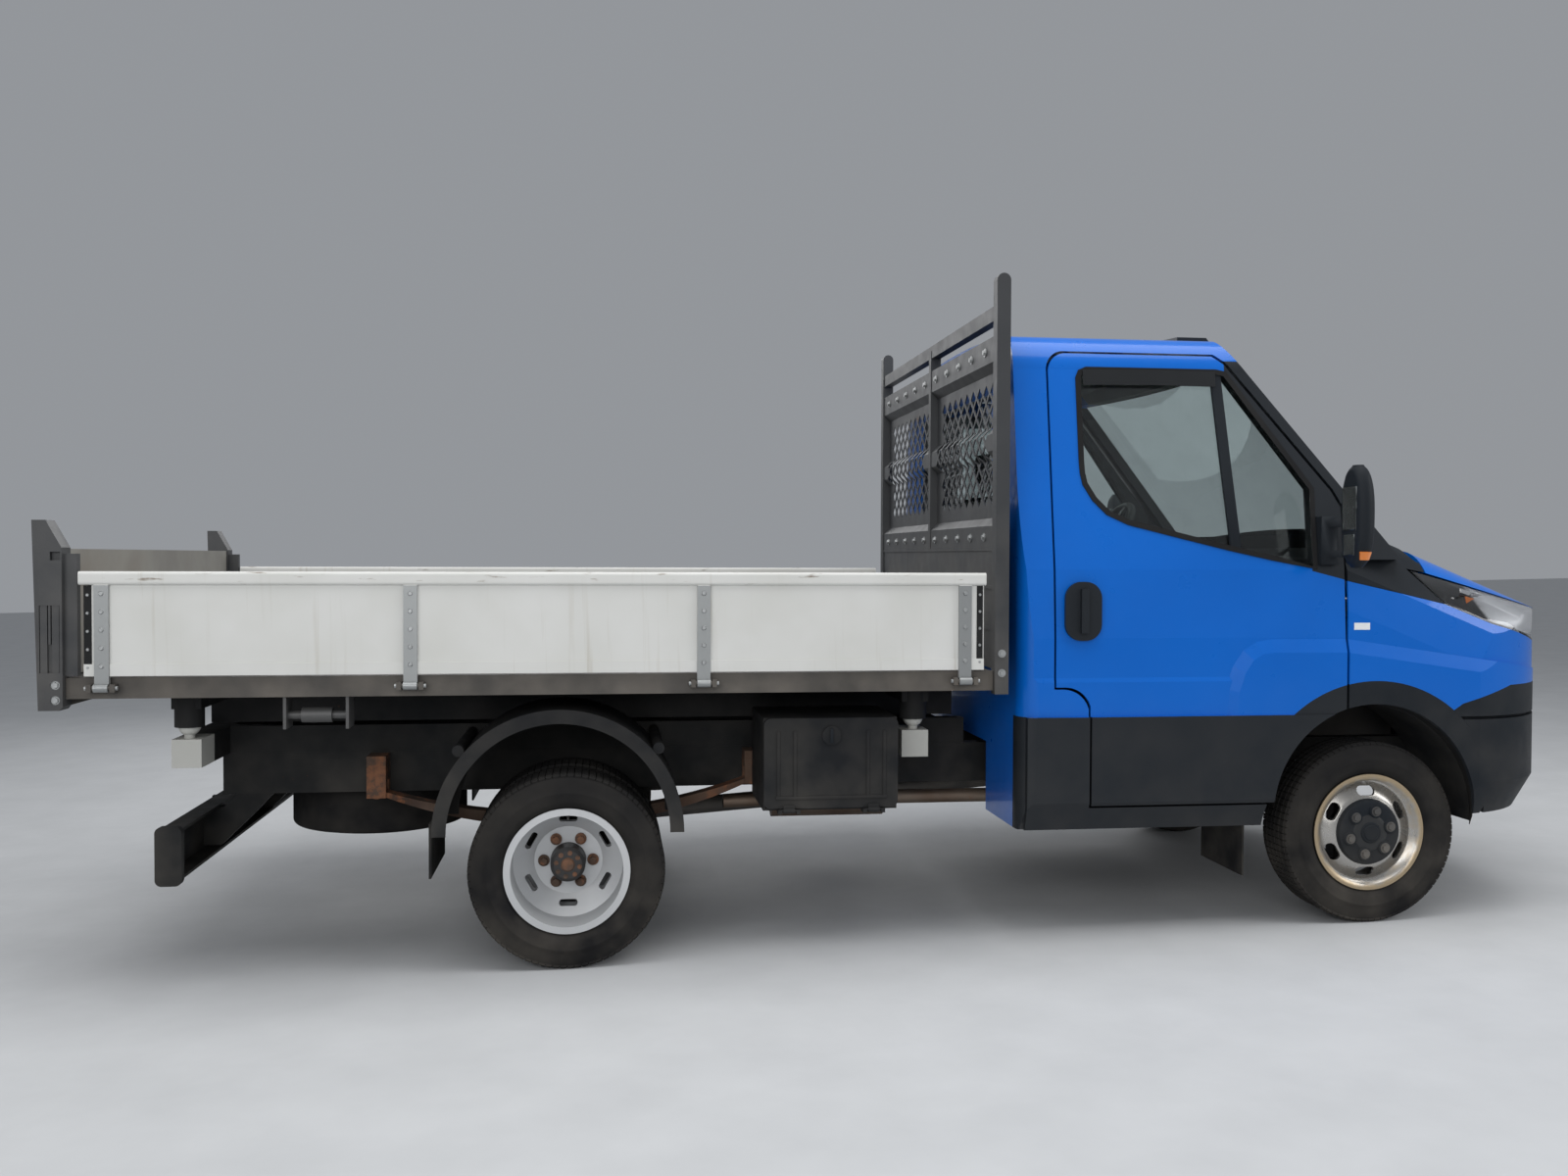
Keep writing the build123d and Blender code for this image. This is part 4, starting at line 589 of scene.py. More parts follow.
board_white = finish("board_white", ((0.56, 0.56, 0.53), (0.62, 0.62, 0.60)), 0.42, grain=(90.0, 0.05),
                     zones=((streaks, (0.36, 0.32, 0.25), 0.6, 0.0, 0.0),
                            (cap_scuffs, (0.2, 0.16, 0.12), 0.6, 0.0, 0.0),
                            (strap_zone, (0.30, 0.31, 0.31), 0.45, 0.8, 0.0)))
gate_grey = finish("gate_grey", ((0.22, 0.21, 0.19), (0.30, 0.29, 0.26)), 0.55, grain=(90.0, 0.12),
                   zones=((streaks, (0.17, 0.13, 0.09), 0.7, 0.0, 0.0),), rust=(0.42, 26.0),
                   dust=(0.3, 0.6, 1.4))
anthracite = finish("anthracite", ((0.024, 0.026, 0.029), (0.036, 0.038, 0.041)), 0.5, grain=(120.0, 0.1),
                    rust=(0.33, 34.0), dust=(0.2, 0.8, 1.8))
scoured_floor = finish("scoured_floor", ((0.05, 0.047, 0.043), (0.10, 0.09, 0.08)), 0.6, metal=0.4,
                       grain=(80.0, 0.2), rust=(0.42, 16.0), dust=(0.6, 0.5, 1.3))
seat_cloth = finish("seat_cloth", ((0.022, 0.023, 0.026), (0.036, 0.037, 0.041)), 0.9, cloud=90.0,
                    grain=(1500.0, 0.5))

# %% Every CAD piece gets its finish
DRESS = {
    blue_paint: ("cab_shell", "door_right", "door_left"),
    blue_panel: ("front_fenders", "bonnet"),
    window_glass: ("cab_glass", "door_glass_right", "door_glass_left"),
    lens_plastic: ("headlamps",),
    red_lens: ("tail_lamps",),
    black_plastic: ("arch_trims", "front_bumper", "grille", "cowl", "mirror_right", "mirror_left"),
    dusty_plastic: ("wheel_liners", "rear_mudguards", "toolbox", "toolbox_lid", "fuel_tank"),
    inside_plastic: ("dashboard",),
    seat_cloth: ("seats",),
    flap_rubber: ("mudflaps",),
    tyre_rubber: ("spare_wheel", "front_tyre_right", "front_tyre_left", "rear_tyres_right",
                  "rear_tyres_left"),
    front_silver: ("front_rim_right", "front_rim_left"),
    rear_silver: ("rear_rims_right", "rear_rims_left"),
    frame_black: ("chassis_frame", "underrun_bar", "front_suspension", "rear_axle", "knuckle_right",
                  "knuckle_left", "tip_cylinder"),
    subframe_black: ("tipper_subframe",),
    beam_black: ("bed_beams",),
    rusty_steel: ("leaf_springs",),
    cast_grey: ("driveline",),
    hot_pipe: ("exhaust",),
    scoured_floor: ("bed_floor",),
    anthracite: ("rear_posts", "headboard_frame", "headboard_mesh"),
    board_white: ("dropside_right", "dropside_left"),
    gate_grey: ("tailgate",),
    ram_chrome: ("ram_stage_1", "ram_stage_2", "ram_stage_3", "ram_stage_4"),
}
for material, names in DRESS.items():
    for name in names:
        nodes[name].data.materials.clear()
        nodes[name].data.materials.append(material)
undressed = sorted(set(nodes) - {name for names in DRESS.values() for name in names})
print("dressed", len(nodes) - len(undressed), "nodes; left over:", undressed)

# %% [markdown]
# ## Small tools for new pieces
# New pieces are drawn in `bmesh` on the level truck. One helper closes them off: it turns the faces
# outward, leans the mesh with the truck, and hangs the object on the body that carries it. Pieces
# that come in pairs are drawn for the right side and flipped for the left.

# %% Drawing helpers
def add_box(bm, low, high, bevel=0.0, steps=2):
    """A box between two corners, its edges rounded if asked."""
    made = bmesh.ops.create_cube(bm, size=1.0)["verts"]
    size = [high[i] - low[i] for i in range(3)]
    middle = [(high[i] + low[i]) / 2 for i in range(3)]
    bmesh.ops.scale(bm, vec=size, verts=made)
    bmesh.ops.translate(bm, vec=middle, verts=made)
    if bevel:
        edges = list({edge for vert in made for edge in vert.link_edges})
        bmesh.ops.bevel(bm, geom=edges, offset=bevel, segments=steps, profile=0.5, affect="EDGES",
                        material=-1)


def add_rod(bm, start, end, radius, sides=12, tip=None):
    """A round (or six-sided) bar between two points, tapered if a tip radius is given."""
    start, end = Vector(start), Vector(end)
    way = end - start
    turn = Vector((0.0, 0.0, 1.0)).rotation_difference(way.normalized()).to_matrix().to_4x4()
    bmesh.ops.create_cone(bm, cap_ends=True, segments=sides, radius1=radius,
                          radius2=radius if tip is None else tip,
                          depth=way.length, matrix=Matrix.Translation((start + end) / 2) @ turn)


def add_plate(bm, outline, y0, y1, bevel=0.0):
    """A side-view outline (x, z) drawn out across the truck."""
    face = bm.faces.new([bm.verts.new((x, y0, z)) for x, z in outline])
    made = bmesh.ops.extrude_face_region(bm, geom=[face])["geom"]
    moved = [item for item in made if isinstance(item, bmesh.types.BMVert)]
    bmesh.ops.translate(bm, vec=(0.0, y1 - y0, 0.0), verts=moved)
    if bevel:
        near = {edge for vert in moved for edge in vert.link_edges}
        far = [edge for edge in near if all(vert in moved for vert in edge.verts)]
        bmesh.ops.bevel(bm, geom=far, offset=bevel, segments=2, profile=0.5, affect="EDGES", material=-1)


def add_strip(bm, path, width, depth, outward):
    """A flat strip laid along a path of points: so wide in the face, so deep along outward."""
    rows = []
    count = len(path)
    for i, spot in enumerate(path):
        ahead = (Vector(path[min(i + 1, count - 1)]) - Vector(path[max(i - 1, 0)])).normalized()
        across = ahead.cross(Vector(outward)).normalized() * (width / 2)
        rise = Vector(outward).normalized() * depth
        spot = Vector(spot)
        rows.append([bm.verts.new(p) for p in (spot - across, spot - across + rise, spot + across + rise,
                                               spot + across)])
    for first, second in zip(rows, rows[1:]):
        for k in range(4):
            bm.faces.new((first[k], first[(k + 1) % 4], second[(k + 1) % 4], second[k]))
    bm.faces.new(rows[0])
    bm.faces.new(list(reversed(rows[-1])))


def add_bolt(bm, spot, outward, radius, height):
    """A six-sided head on a round washer."""
    spot, outward = Vector(spot), Vector(outward).normalized()
    add_rod(bm, spot, spot + outward * height * 0.3, radius * 1.45, 14)
    add_rod(bm, spot, spot + outward * height, radius, 6, radius * 0.9)


# %% [markdown]
# A drawn piece is then closed off: faces outward, leaned with the truck, smooth but for its sharp
# edges, and hung on the body that carries it.

# %% Hanging a piece on its body
def shape(name, material, draw, flip=False, sharp=38.0):
    """Draw a piece level and lean it with the truck."""
    bm = bmesh.new()
    draw(bm)
    if flip:
        bmesh.ops.scale(bm, vec=(1.0, -1.0, 1.0), verts=bm.verts)
    bmesh.ops.recalc_face_normals(bm, faces=bm.faces)
    bm.transform(STAND)
    mesh = bpy.data.meshes.new(name)
    bm.to_mesh(mesh)
    bm.free()
    mesh.polygons.foreach_set("use_smooth", [True] * len(mesh.polygons))
    mesh.set_sharp_from_angle(angle=math.radians(sharp))
    mesh.materials.append(material)
    made = bpy.data.objects.new(name, mesh)
    bpy.context.collection.objects.link(made)
    return made


def hang(name, body, material, draw, replaced=(), flip=False):
    """Draw a piece and let it ride on a body, in place of the CAD nodes it stands for."""
    made = shape(name, material, draw, flip)
    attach(made, body)
    for node in replaced:
        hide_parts(node)
    return made


def each_side(name, body, material, draw, replaced=()):
    """A piece for the right side and its flipped twin; {} in names stands for the side."""
    made = [hang(f"{name}_{side}", body.format(side), material, draw,
                 [node.format(side) for node in replaced], flip=sign > 0) for side, sign in SIDES.items()]
    print(name, [len(piece.data.polygons) for piece in made], "faces")
    return made


# %% [markdown]
# ## Tyres
# A tyre is a turned shape with a carved tread. Its outline is spun about the axle; then each face of
# the tread band is inset and raised, which leaves a groove round every block. A mould works the same
# way: the blocks are what the grooves leave. The sidewall gets a bead step and two fine ribs.

# %% Treaded tyres
TYRE_R = 0.343
WALL = [(0.066, 0.2033), (0.077, 0.2235), (0.083, 0.2275), (0.0875, 0.236), (0.0905, 0.238), (0.0935, 0.246),
        (0.0972, 0.262), (0.0978, 0.272), (0.0985, 0.274), (0.0985, 0.278), (0.0965, 0.281), (0.0940, 0.298),
        (0.0915, 0.315), (0.0860, 0.329)]
TREAD = [0.0790, 0.0500, 0.0455, 0.0150, 0.0105]


def draw_tyre(bm, centre, steps=84):
    """Spin one tyre about the cross axis and raise its tread blocks."""
    crown = TYRE_R - 0.007
    half = WALL + [(a, crown) for a in TREAD]
    outline = half + [(-a, r) for a, r in reversed(half)]
    verts = [bm.verts.new((centre[0], centre[1] + a, centre[2] + r)) for a, r in outline]
    edges = [bm.edges.new(two) for two in zip(verts, verts[1:])] + [bm.edges.new((verts[-1], verts[0]))]
    before = set(bm.faces)
    bmesh.ops.spin(bm, geom=verts + edges, cent=centre, axis=(0.0, 1.0, 0.0), angle=2 * math.pi, steps=steps,
                   use_merge=True)
    blocks = []
    for face in bm.faces:
        if face in before:
            continue
        spot = face.calc_center_median()
        reach = math.hypot(spot.x - centre[0], spot.z - centre[2])
        wide = abs(spot.y - centre[1])
        shoulder = 0.0790 < wide < 0.0860 and reach > TYRE_R - 0.016
        rib = wide < 0.0790 and reach > crown - 0.002 and not (0.0455 < wide < 0.05 or 0.0105 < wide < 0.015)
        if rib or shoulder:
            blocks.append(face)
    bmesh.ops.inset_individual(bm, faces=blocks, thickness=0.0032, depth=0.0066)


def front_tyre(bm):
    draw_tyre(bm, (FRONT_AXLE.x, -0.862, FRONT_AXLE.z))


def rear_tyres(bm):
    for way in (-0.115, 0.115):
        draw_tyre(bm, (0.0, -0.771 + way, TYRE_R))


each_side("front_tyre_treaded", "front_wheel_{}", tyre_rubber, front_tyre, ["front_tyre_{}"])
each_side("rear_tyres_treaded", "rear_wheels_{}", tyre_rubber, rear_tyres, ["rear_tyres_{}"])

# %% [markdown]
# ## Wheel nuts and hubs
# Six nuts hold each wheel. Turned on a lathe the nuts would be hexagon bar; here a six-sided cone on
# a washer is enough. The rear hub carries a ring of small flange bolts, the front a black cover.

# %% Wheel nuts
def rear_nuts(bm):
    for k in range(6):
        a = math.radians(60 * k + 30)
        spot = (0.088 * math.sin(a), -0.7812, TYRE_R + 0.088 * math.cos(a))
        add_bolt(bm, spot, (0, -1, 0), 0.0145, 0.026)
    for k in range(8):
        a = math.radians(45 * k + 10)
        add_bolt(bm, (0.042 * math.sin(a), -0.8665, TYRE_R + 0.042 * math.cos(a)), (0, -1, 0), 0.006, 0.007)
    add_rod(bm, (0.0, -0.866, TYRE_R), (0.0, -0.874, TYRE_R), 0.026, 20, 0.02)


def rear_valve(bm):
    add_rod(bm, (0.0, -0.79, TYRE_R + 0.168), (0.0, -0.84, TYRE_R + 0.160), 0.004, 8)


FRONT_NUT_RING = 0.083


def front_nut_spots():
    """Where the six front nuts sit in the side view."""
    turns = [math.radians(60 * k + 15) for k in range(6)]
    return [(FRONT_AXLE.x + FRONT_NUT_RING * math.sin(a),
             FRONT_AXLE.z + FRONT_NUT_RING * math.cos(a)) for a in turns]


def front_cover(bm):
    x, z = FRONT_AXLE.x, FRONT_AXLE.z
    add_rod(bm, (x, -0.932, z), (x, -0.949, z), 0.127, 48, 0.120)
    add_rod(bm, (x, -0.949, z), (x, -0.955, z), 0.120, 48, 0.106)
    add_rod(bm, (x, -0.954, z), (x, -0.964, z), 0.046, 32, 0.036)
    add_rod(bm, (x, -0.964, z), (x, -0.967, z), 0.030, 32, 0.027)
    for nut_x, nut_z in front_nut_spots():
        add_rod(bm, (nut_x, -0.953, nut_z), (nut_x, -0.961, nut_z), 0.029, 20, 0.024)


def front_nuts(bm):
    for nut_x, nut_z in front_nut_spots():
        add_rod(bm, (nut_x, -0.960, nut_z), (nut_x, -0.9615, nut_z), 0.019, 20)
        add_rod(bm, (nut_x, -0.961, nut_z), (nut_x, -0.969, nut_z), 0.0145, 6, 0.013)


each_side("rear_wheel_nuts", "rear_wheels_{}", rusty_steel, rear_nuts)
each_side("rear_valves", "rear_wheels_{}", cast_grey, rear_valve)
each_side("front_hub_cover", "front_wheel_{}", black_plastic, front_cover)
each_side("front_wheel_nuts", "front_wheel_{}", cast_grey, front_nuts)

# %% [markdown]
# ## Headlamps
# A lamp is a clear shell over a dark bowl with a bright reflector and an amber turn lamp. The CAD
# lamp is one block, so its own outer skin is copied as the clear shell, and a smaller copy inside
# becomes the bowl.

# %% Headlamp shell and bowl
def skin_copy(node, shrink):
    """Copy a node's mesh, moved inward along its normals, keeping the leaned frame."""
    source = bpy.data.objects[node]
    bm = bmesh.new()
    bm.from_mesh(source.data)
    bm.transform(source.matrix_world)
    bmesh.ops.remove_doubles(bm, verts=bm.verts, dist=1e-5)
    bmesh.ops.recalc_face_normals(bm, faces=bm.faces)
    bm.normal_update()
    if shrink:
        for vert in bm.verts:
            vert.co -= vert.normal * shrink
    return bm


def leave(bm, name, body, material, replaced=()):
    """Turn a leaned bmesh into a riding piece."""
    return hang(name, body, material, lambda new: copy_into(bm, new), replaced)


def copy_into(bm, new):
    """Put a leaned mesh back level, so that hang() can lean it again."""
    mesh = bpy.data.meshes.new("copied")
    bm.transform(STAND.inverted())
    bm.to_mesh(mesh)
    new.from_mesh(mesh)
    bpy.data.meshes.remove(mesh)
    bm.free()


leave(skin_copy("headlamps", 0.0), "headlamp_shell", "chassis", lens_plastic, ["headlamps"])


def clear_part(tree):
    """The front part of the lamp, where the bowl is bright."""
    x, y, z, out = axes(tree)
    return ramp(tree, math_node(tree, "ADD", x, math_node(tree, "MULTIPLY", z, 0.5)), 4.075, 4.10)


lamp_bowl = finish("lamp_bowl", ((0.008, 0.009, 0.010), (0.012, 0.013, 0.014)), 0.3, cloud=30.0,
                   grain=(60.0, 0.05),
                   zones=((clear_part, (0.60, 0.61, 0.63), 0.25, 0.6, 0.0),))
leave(skin_copy("headlamps", 0.012), "headlamp_bowl", "chassis", lamp_bowl)
print("headlamps: clear shell and bowl")

# %% [markdown]
# Inside the bowl sit a round reflector, an amber turn lamp at the outer end and a bright line along
# the top edge. They are drawn a little behind the clear shell, whose face leans back and outward.

# %% Inside the headlamps
def lamp_bright(bm):
    add_strip(bm,
              [(3.375, -0.918, 1.322), (3.52, -0.852, 1.285), (3.64, -0.775, 1.25), (3.70, -0.715, 1.228)],
              0.016, 0.006, (0.3, -1, 0.2))
    add_rod(bm, (3.64, -0.742, 1.185), (3.615, -0.71, 1.19), 0.036, 24, 0.02)
    add_rod(bm, (3.73, -0.645, 1.165), (3.70, -0.62, 1.17), 0.034, 24, 0.018)


def lamp_amber(bm):
    add_strip(bm, [(3.40, -0.91, 1.285), (3.50, -0.868, 1.255), (3.575, -0.822, 1.232)], 0.03, 0.006,
              (0.3, -1, 0.2))


each_side("headlamp_bright", "chassis", chrome, lamp_bright)
each_side("headlamp_amber", "chassis", amber_lens, lamp_amber)

# %% [markdown]
# ## Windows
# The door window sits in a black rubber seal. A bar divides it, and a smoked wind deflector runs
# along its top. The seal follows the window's outline on the leaning door, so each point first finds
# how far out the door's skin lies at its height.

# %% Window seals and bars
WINDOW = [(1.868, 1.80), (1.870, 1.755), (1.878, 1.715), (1.912, 1.658), (1.962, 1.608), (2.040, 1.573),
          (2.230, 1.527), (2.418, 1.482), (2.590, 1.445), (2.756, 1.408), (2.760, 1.705), (2.610, 1.9075),
          (2.460, 2.110),
          (2.440, 2.136), (2.405, 2.142), (2.150, 2.142), (1.900, 2.142), (1.877, 2.132), (1.868, 2.110),
          (1.868, 1.95)]


def door_skin(z):
    """How far the door's outer skin lies from the middle plane at a height."""
    if z < 1.15:
        return 0.990
    if z < 1.40:
        return 0.990 - 0.015 * (z - 1.15) / 0.25
    return 0.975 - 0.107 * (z - 1.40) / 0.74


def on_door(points, lift=0.0):
    return [(x, -door_skin(z) - lift, z) for x, z in points]


def closed(points):
    return points + points[:1]


def window_seal(bm):
    add_strip(bm, on_door(closed(WINDOW)), 0.020, 0.004, (0, -1, 0.14))


def window_bar(bm):
    add_strip(bm, on_door([(2.405, 2.140), (2.428, 1.80), (2.452, 1.474)], -0.014), 0.040, 0.013,
              (0, -1, 0.14))


def wind_deflector(bm):
    path = [(1.885, 2.112), (2.15, 2.116), (2.40, 2.114)]
    add_strip(bm, on_door(path, 0.006), 0.058, 0.003, (0, -1, 0.14))


each_side("window_seal", "door_{}", flap_rubber, window_seal)
each_side("window_bar", "door_{}", black_plastic, window_bar)
smoked = finish("smoked_plastic", ((0.006, 0.007, 0.008), (0.010, 0.011, 0.012)), 0.12, coat=0.6,
                grain=(60.0, 0.0))
each_side("wind_deflector", "door_{}", smoked, wind_deflector)

# %% [markdown]
# ## Mirrors
# The CAD mirror is a block on two arms. Its foot and arms are kept, and the head is drawn again as a
# moulded shell: oval rings stacked from the bottom up, cut flat at the back where two glasses sit. A
# turn lamp is let into the lower corner.

# %% Mirror heads, glass and lamps
HEAD = Vector((2.803, -1.18, 1.594))


def head_ring(z, turn):
    """A point of the mirror head: how far round, at a height."""
    share = max(0.06, 1 - (abs(z - HEAD.z) / 0.1845) ** 2.6) ** (1 / 2.6)
    x = max(HEAD.x + 0.050 * share * math.cos(turn), 2.773)
    return (x, HEAD.y - 0.072 * share * math.sin(turn), z)


def mirror_shell(bm):
    copy_into(skin_copy("mirror_right", 0.0), bm)
    kept = bmesh.ops.bisect_plane(bm, geom=bm.verts[:] + bm.edges[:] + bm.faces[:],
                                  plane_co=(0.0, -1.0845, 0.0),
                                  plane_no=(0.0, -1.0, 0.0), clear_outer=True)["geom_cut"]
    bmesh.ops.holes_fill(bm, edges=[part for part in kept if isinstance(part, bmesh.types.BMEdge)], sides=0)
    for z in (1.448, 1.560):
        add_box(bm, (2.800, -1.150, z), (2.830, -1.080, z + 0.026), 0.004)
    rings = []
    for k in range(25):
        z = HEAD.z - 0.184 * math.cos(math.pi * k / 24)
        rings.append([bm.verts.new(head_ring(z, math.radians(10 * j))) for j in range(36)])
    for low, high in zip(rings, rings[1:]):
        for j in range(36):
            bm.faces.new((low[j], low[(j + 1) % 36], high[(j + 1) % 36], high[j]))
    bm.faces.new(rings[0])
    bm.faces.new(list(reversed(rings[-1])))


def mirror_glass(bm):
    add_box(bm, (2.7705, -1.226, 1.545), (2.7735, -1.134, 1.700), 0.001, 1)
    add_box(bm, (2.7705, -1.215, 1.455), (2.7735, -1.145, 1.530), 0.001, 1)


def mirror_lamp(bm):
    path = [head_ring(1.454, math.radians(turn)) for turn in (60, 75, 90, 105, 120)]
    add_strip(bm, path, 0.030, 0.006, (0, -1, -0.3))


each_side("mirror_shell", "door_{}", black_plastic, mirror_shell, ["mirror_{}"])
each_side("mirror_glass", "door_{}", mirror_silver, mirror_glass)
each_side("mirror_lamp", "door_{}", amber_lens, mirror_lamp)

# %% [markdown]
# ## Side boards
# Every hinge strap is riveted to its board in a row of five, and each end of the board carries a
# dark strip with rivets of its own. The hinge pins stick out of their lugs.

# %% Strap rivets and board ends
STRAPS = (-1.512, -0.522, 0.472, 1.404)


def strap_rivets(bm):
    for x in STRAPS:
        for z in (1.075, 1.135, 1.195, 1.255, 1.315):
            add_rod(bm, (x, -1.0328, z), (x, -1.0375, z), 0.0085, 12, 0.006)


def strap_pins(bm):
    for x in STRAPS:
        add_rod(bm, (x - 0.052, -1.037, 1.003), (x + 0.052, -1.037, 1.003), 0.0075, 10)


def board_ends(bm):
    for x0, x1 in ((-1.569, -1.545), (1.448, 1.470)):
        add_box(bm, (x0, -1.0255, 1.046), (x1, -1.0205, 1.342), 0.001, 1)


def end_rivets(bm):
    for x in (-1.557, 1.459):
        for z in (1.07, 1.13, 1.19, 1.25, 1.31):
            add_rod(bm, (x, -1.025, z), (x, -1.0285, z), 0.006, 10, 0.004)


each_side("strap_rivets", "side_board_{}", galvanised, strap_rivets)
each_side("strap_pins", "bed", galvanised, strap_pins)
each_side("board_ends", "side_board_{}", frame_black, board_ends)
each_side("end_rivets", "side_board_{}", galvanised, end_rivets)

# %% [markdown]
# ## Bolts on the bed
# The headboard's folded sheets are bolted to the frame along their flanges; the rear posts carry two
# bolts each near the foot.

# %% Headboard and post bolts
HEAD_X = 1.519


def head_bolts(bm):
    for z in (1.518, 2.196):
        for k in range(5):
            add_bolt(bm, (HEAD_X, -0.10 - 0.19 * k, z), (-1, 0, 0), 0.011, 0.010)


def post_bolts(bm):
    add_bolt(bm, (-1.656, -1.0285, 1.014), (0, -1, 0), 0.011, 0.010)
    add_bolt(bm, (-1.656, -1.0285, 0.964), (0, -1, 0), 0.011, 0.010)
    add_bolt(bm, (1.538, -1.0348, 1.03), (0, -1, 0), 0.010, 0.009)
    add_bolt(bm, (1.538, -1.0348, 1.10), (0, -1, 0), 0.010, 0.009)


each_side("head_bolts", "bed", galvanised, head_bolts)
each_side("post_bolts", "bed", galvanised, post_bolts)

# %% [markdown]
# ## Toolbox, lamps and small fittings
# The toolbox lid is moulded plastic with ribs; the round lock has a finger slot. The tail lamps are
# split into red, amber and white fields. A blank white sticker sits on the fender.

# %% Toolbox lid ribs and lock
def lid_ribs(bm):
    for x in (0.745, 0.805, 1.07, 1.13):
        add_box(bm, (x - 0.006, -0.9535, 0.585), (x + 0.006, -0.948, 0.82), 0.002)
    add_box(bm, (0.735, -0.9535, 0.575), (1.14, -0.948, 0.587), 0.002)


def lid_lock(bm):
    add_box(bm, (0.9305, -0.9605, 0.778), (0.9425, -0.9555, 0.83), 0.002)


def lamp_fields(y0, y1):
    def draw(bm):
        add_box(bm, (-1.3905, y0, 0.370), (-1.3855, y1, 0.476), 0.002)
    return draw


def sticker(bm):
    add_box(bm, (2.905, -0.9908, 1.178), (2.968, -0.9898, 1.204))


hang("lid_ribs", "toolbox_lid", dusty_plastic, lid_ribs)
hang("lid_lock", "toolbox_lid", black_plastic, lid_lock)
each_side("tail_red", "chassis", red_lens, lamp_fields(-0.885, -0.785))
each_side("tail_amber", "chassis", amber_lens, lamp_fields(-0.783, -0.705))
each_side("tail_white", "chassis", white_lens, lamp_fields(-0.703, -0.625))
hang("blank_sticker", "chassis", white_lens, sticker)
print("small fittings hung")

# %% [markdown]
# ## Wheel-arch skirts
# A rubber skirt closes the gap between the inner liner and the arch's edge, ahead of the wheel. It is
# a strip rolled between two arcs: the liner's outer edge and the arch's inner edge.

# %% Wheel-arch skirts
LINER = Vector((3.0, -0.899, 0.45))
ARCH = Vector((2.99, -0.980, 0.497))


def arch_skirt(bm):
    rows = []
    for k in range(27):
        a = math.radians(-4 + 4 * k)
        c, s = math.cos(a), math.sin(a)
        inner = [LINER + Vector((r * c, 0.0, r * s)) for r in (0.4415, 0.4445)]
        outer = [ARCH + Vector((r * c, 0.0, r * s)) for r in (0.4105, 0.4075)]
        rows.append([bm.verts.new(spot) for spot in inner + outer])
    for first, second in zip(rows, rows[1:]):
        for k in range(4):
            bm.faces.new((first[k], first[(k + 1) % 4], second[(k + 1) % 4], second[k]))
    bm.faces.new(rows[0])
    bm.faces.new(list(reversed(rows[-1])))


each_side("arch_skirt", "chassis", flap_rubber, arch_skirt)

# %% [markdown]
# ## Seats
# A driver's seat and a bench for two. Real cushions are foam blocks in sewn covers: the cover is cut
# a little small and the foam pushes it round. Here a small block is covered with an even net of
# points, blown up as cloth by a light pressure, and held to a largest movement. The sewn channels
# are pressed in afterwards, because a finer net would be needed to carry them through the cloth step.

# %% Stuffed seats
PLACES = {"driver": (0.150, 0.680, (0.245, 0.585)),
          "bench": (-0.790, 0.060, (-0.69, -0.50, -0.365, -0.23, -0.04))}
BACK = [(1.714, 1.108), (1.812, 1.086), (1.752, 1.722), (1.699, 1.722)]
SWELL = 0.024
NET = 0.011
CHANNEL_HALF = 0.014
CHANNEL_DEPTH = 0.006


def settle(piece):
    """Make what the modifiers show the piece's own mesh."""
    shown = piece.evaluated_get(bpy.context.evaluated_depsgraph_get())
    old, done = piece.data, bpy.data.meshes.new_from_object(shown)
    piece.modifiers.clear()
    piece.data = done
    bpy.data.meshes.remove(old)
    if not done.materials:
        done.materials.append(seat_cloth)
    done.polygons.foreach_set("use_smooth", [True] * len(done.polygons))


def blow_up(piece):
    """Swell a closed cover as cloth, for twenty steps, and cap how far each point went."""
    start = [vert.co.copy() for vert in piece.data.vertices]
    cloth = piece.modifiers.new("stuffing", "CLOTH")
    cloth.settings.use_pressure = True
    cloth.settings.uniform_pressure_force = 4.0
    cloth.settings.effector_weights.gravity = 0.0
    cloth.point_cache.frame_start, cloth.point_cache.frame_end = 1, 20
    for step in range(1, 21):
        bpy.context.scene.frame_set(step)
    settle(piece)
    bpy.context.scene.frame_set(1)
    for vert, spot in zip(piece.data.vertices, start):
        way = vert.co - spot
        if way.length > SWELL:
            vert.co = spot + way.normalized() * SWELL


def stuffed(name, draw, channels=()):
    """One stuffed piece of a seat, with sewn channels at the given distances across."""
    piece = hang(name, "chassis", seat_cloth, draw, ["seats"])
    net = piece.modifiers.new("net", "REMESH")
    net.mode, net.voxel_size = "VOXEL", NET
    settle(piece)
    blow_up(piece)
    finer = piece.modifiers.new("finer", "SUBSURF")
    finer.levels = finer.render_levels = 1
    settle(piece)
    normals = [vert.normal.copy() for vert in piece.data.vertices]
    for vert, normal in zip(piece.data.vertices, normals):
        near = min((abs(vert.co.y - y) for y in channels), default=1.0)
        if near < CHANNEL_HALF and normal.x + normal.z > 0.5:
            vert.co -= normal * CHANNEL_DEPTH * (1 + math.cos(math.pi * near / CHANNEL_HALF)) / 2
    print(name, len(piece.data.polygons), "faces")


# %% [markdown]
# The blocks that the covers start from are a little smaller than the seats, because they swell.

# %% Seat pieces
def cushion(y0, y1):
    return lambda bm: add_box(bm, (1.820, y0 + 0.018, 0.972), (2.318, y1 - 0.018, 1.078), 0.03, 3)


def backrest(y0, y1):
    return lambda bm: add_plate(bm, BACK, y0 + 0.028, y1 - 0.028)


def headrest(y):
    return lambda bm: add_box(bm, (1.706, y - 0.112, 1.755), (1.748, y + 0.112, 1.882), 0.016, 3)


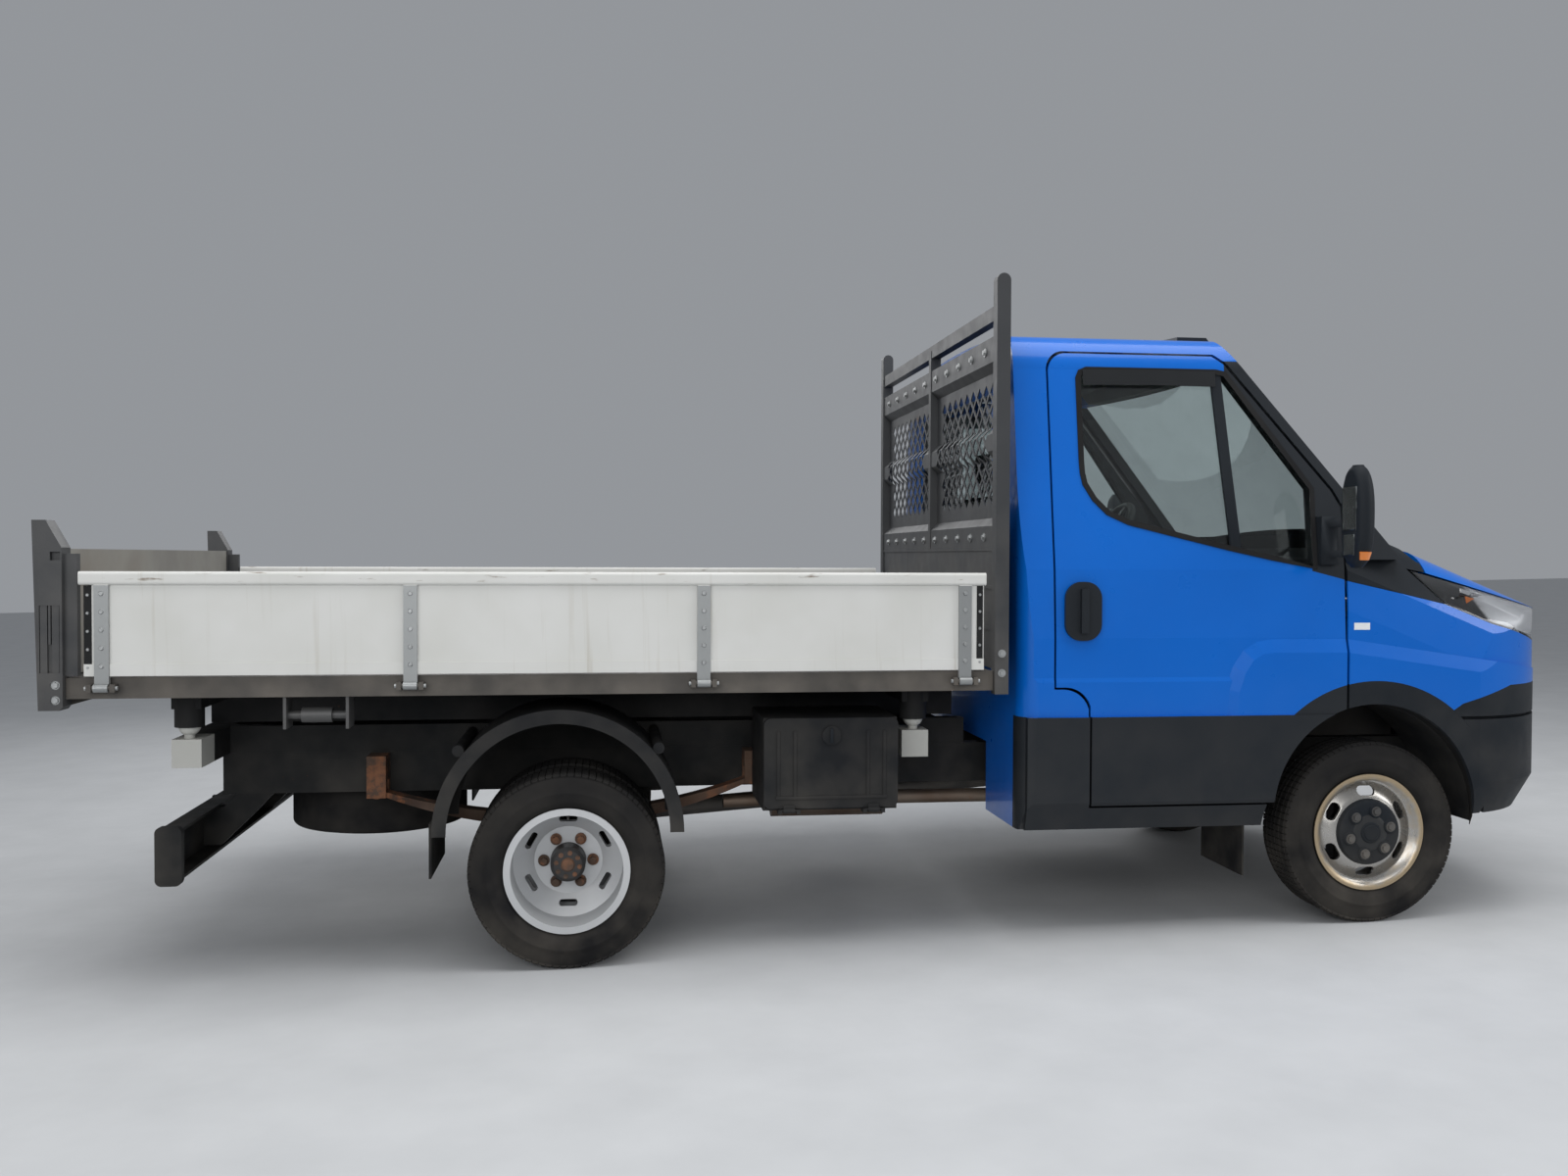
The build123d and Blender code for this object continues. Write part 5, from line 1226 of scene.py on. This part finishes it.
def seat_feet(bm):
    for y0, y1 in ((0.210, 0.470), (-0.480, 0.020)):
        add_box(bm, (1.835, y0, 0.766), (2.255, y1, 0.952), 0.012)
    for y in (0.415, -0.575, -0.155):
        for side in (-0.05, 0.05):
            add_rod(bm, (1.727, y + side, 1.70), (1.727, y + side, 1.77), 0.006, 10)


for place, (low, high, sewn) in PLACES.items():
    stuffed(f"seat_cushion_{place}", cushion(low, high), sewn)
    stuffed(f"seat_back_{place}", backrest(low, high), sewn)
for place, across in (("driver", 0.415), ("outer", -0.575), ("middle", -0.155)):
    stuffed(f"headrest_{place}", headrest(across))
hang("seat_feet", "chassis", inside_plastic, seat_feet, ["seats"])

# %% [markdown]
# ## Front rims
# The front rims have longer, wider slots than the CAD's. A press tool would punch them; here a
# cutter of six rounded bars is taken out of a copy of each rim.

# %% Wider slots in the front rims
SLOT_RING = 0.153
SLOT_HALF = 0.018


def slot_outline(turn):
    """A rounded slot in the side view, so far round the front axle from the top."""
    along, out = Vector((math.cos(turn), -math.sin(turn))), Vector((math.sin(turn), math.cos(turn)))
    middle = Vector((FRONT_AXLE.x, FRONT_AXLE.z)) + out * SLOT_RING
    points = []
    for end, first in ((1, -90), (-1, 90)):
        for k in range(7):
            a = math.radians(first + 30 * k)
            points.append(middle + along * SLOT_HALF * (end + math.cos(a)) + out * SLOT_HALF * math.sin(a))
    return points


def slot_bars(bm):
    for k in range(6):
        add_plate(bm, slot_outline(math.radians(60 * k)), -0.985, -0.88)


for side, sign in SIDES.items():
    bars = shape("slot_bars", front_silver, slot_bars, flip=sign > 0)
    rim = leave(skin_copy(f"front_rim_{side}", 0.0), f"front_rim_slotted_{side}", f"front_wheel_{side}",
                front_silver, [f"front_rim_{side}"])
    before = len(rim.data.polygons)
    punch = rim.modifiers.new("punch", "BOOLEAN")
    punch.operation, punch.object, punch.solver = "DIFFERENCE", bars, "EXACT"
    settle(rim)
    rim.data.set_sharp_from_angle(angle=math.radians(38))
    bpy.data.objects.remove(bars)
    print(rim.name, before, len(rim.data.polygons), "faces")

# %% [markdown]
# The last step gives the floor a pale finish.

# %% The floor's finish, and the end
floor_finish = finish("pale_floor", ((0.50, 0.51, 0.52), (0.54, 0.55, 0.56)), 0.75, grain=(30.0, 0.02))
floor.data.materials.append(floor_finish)
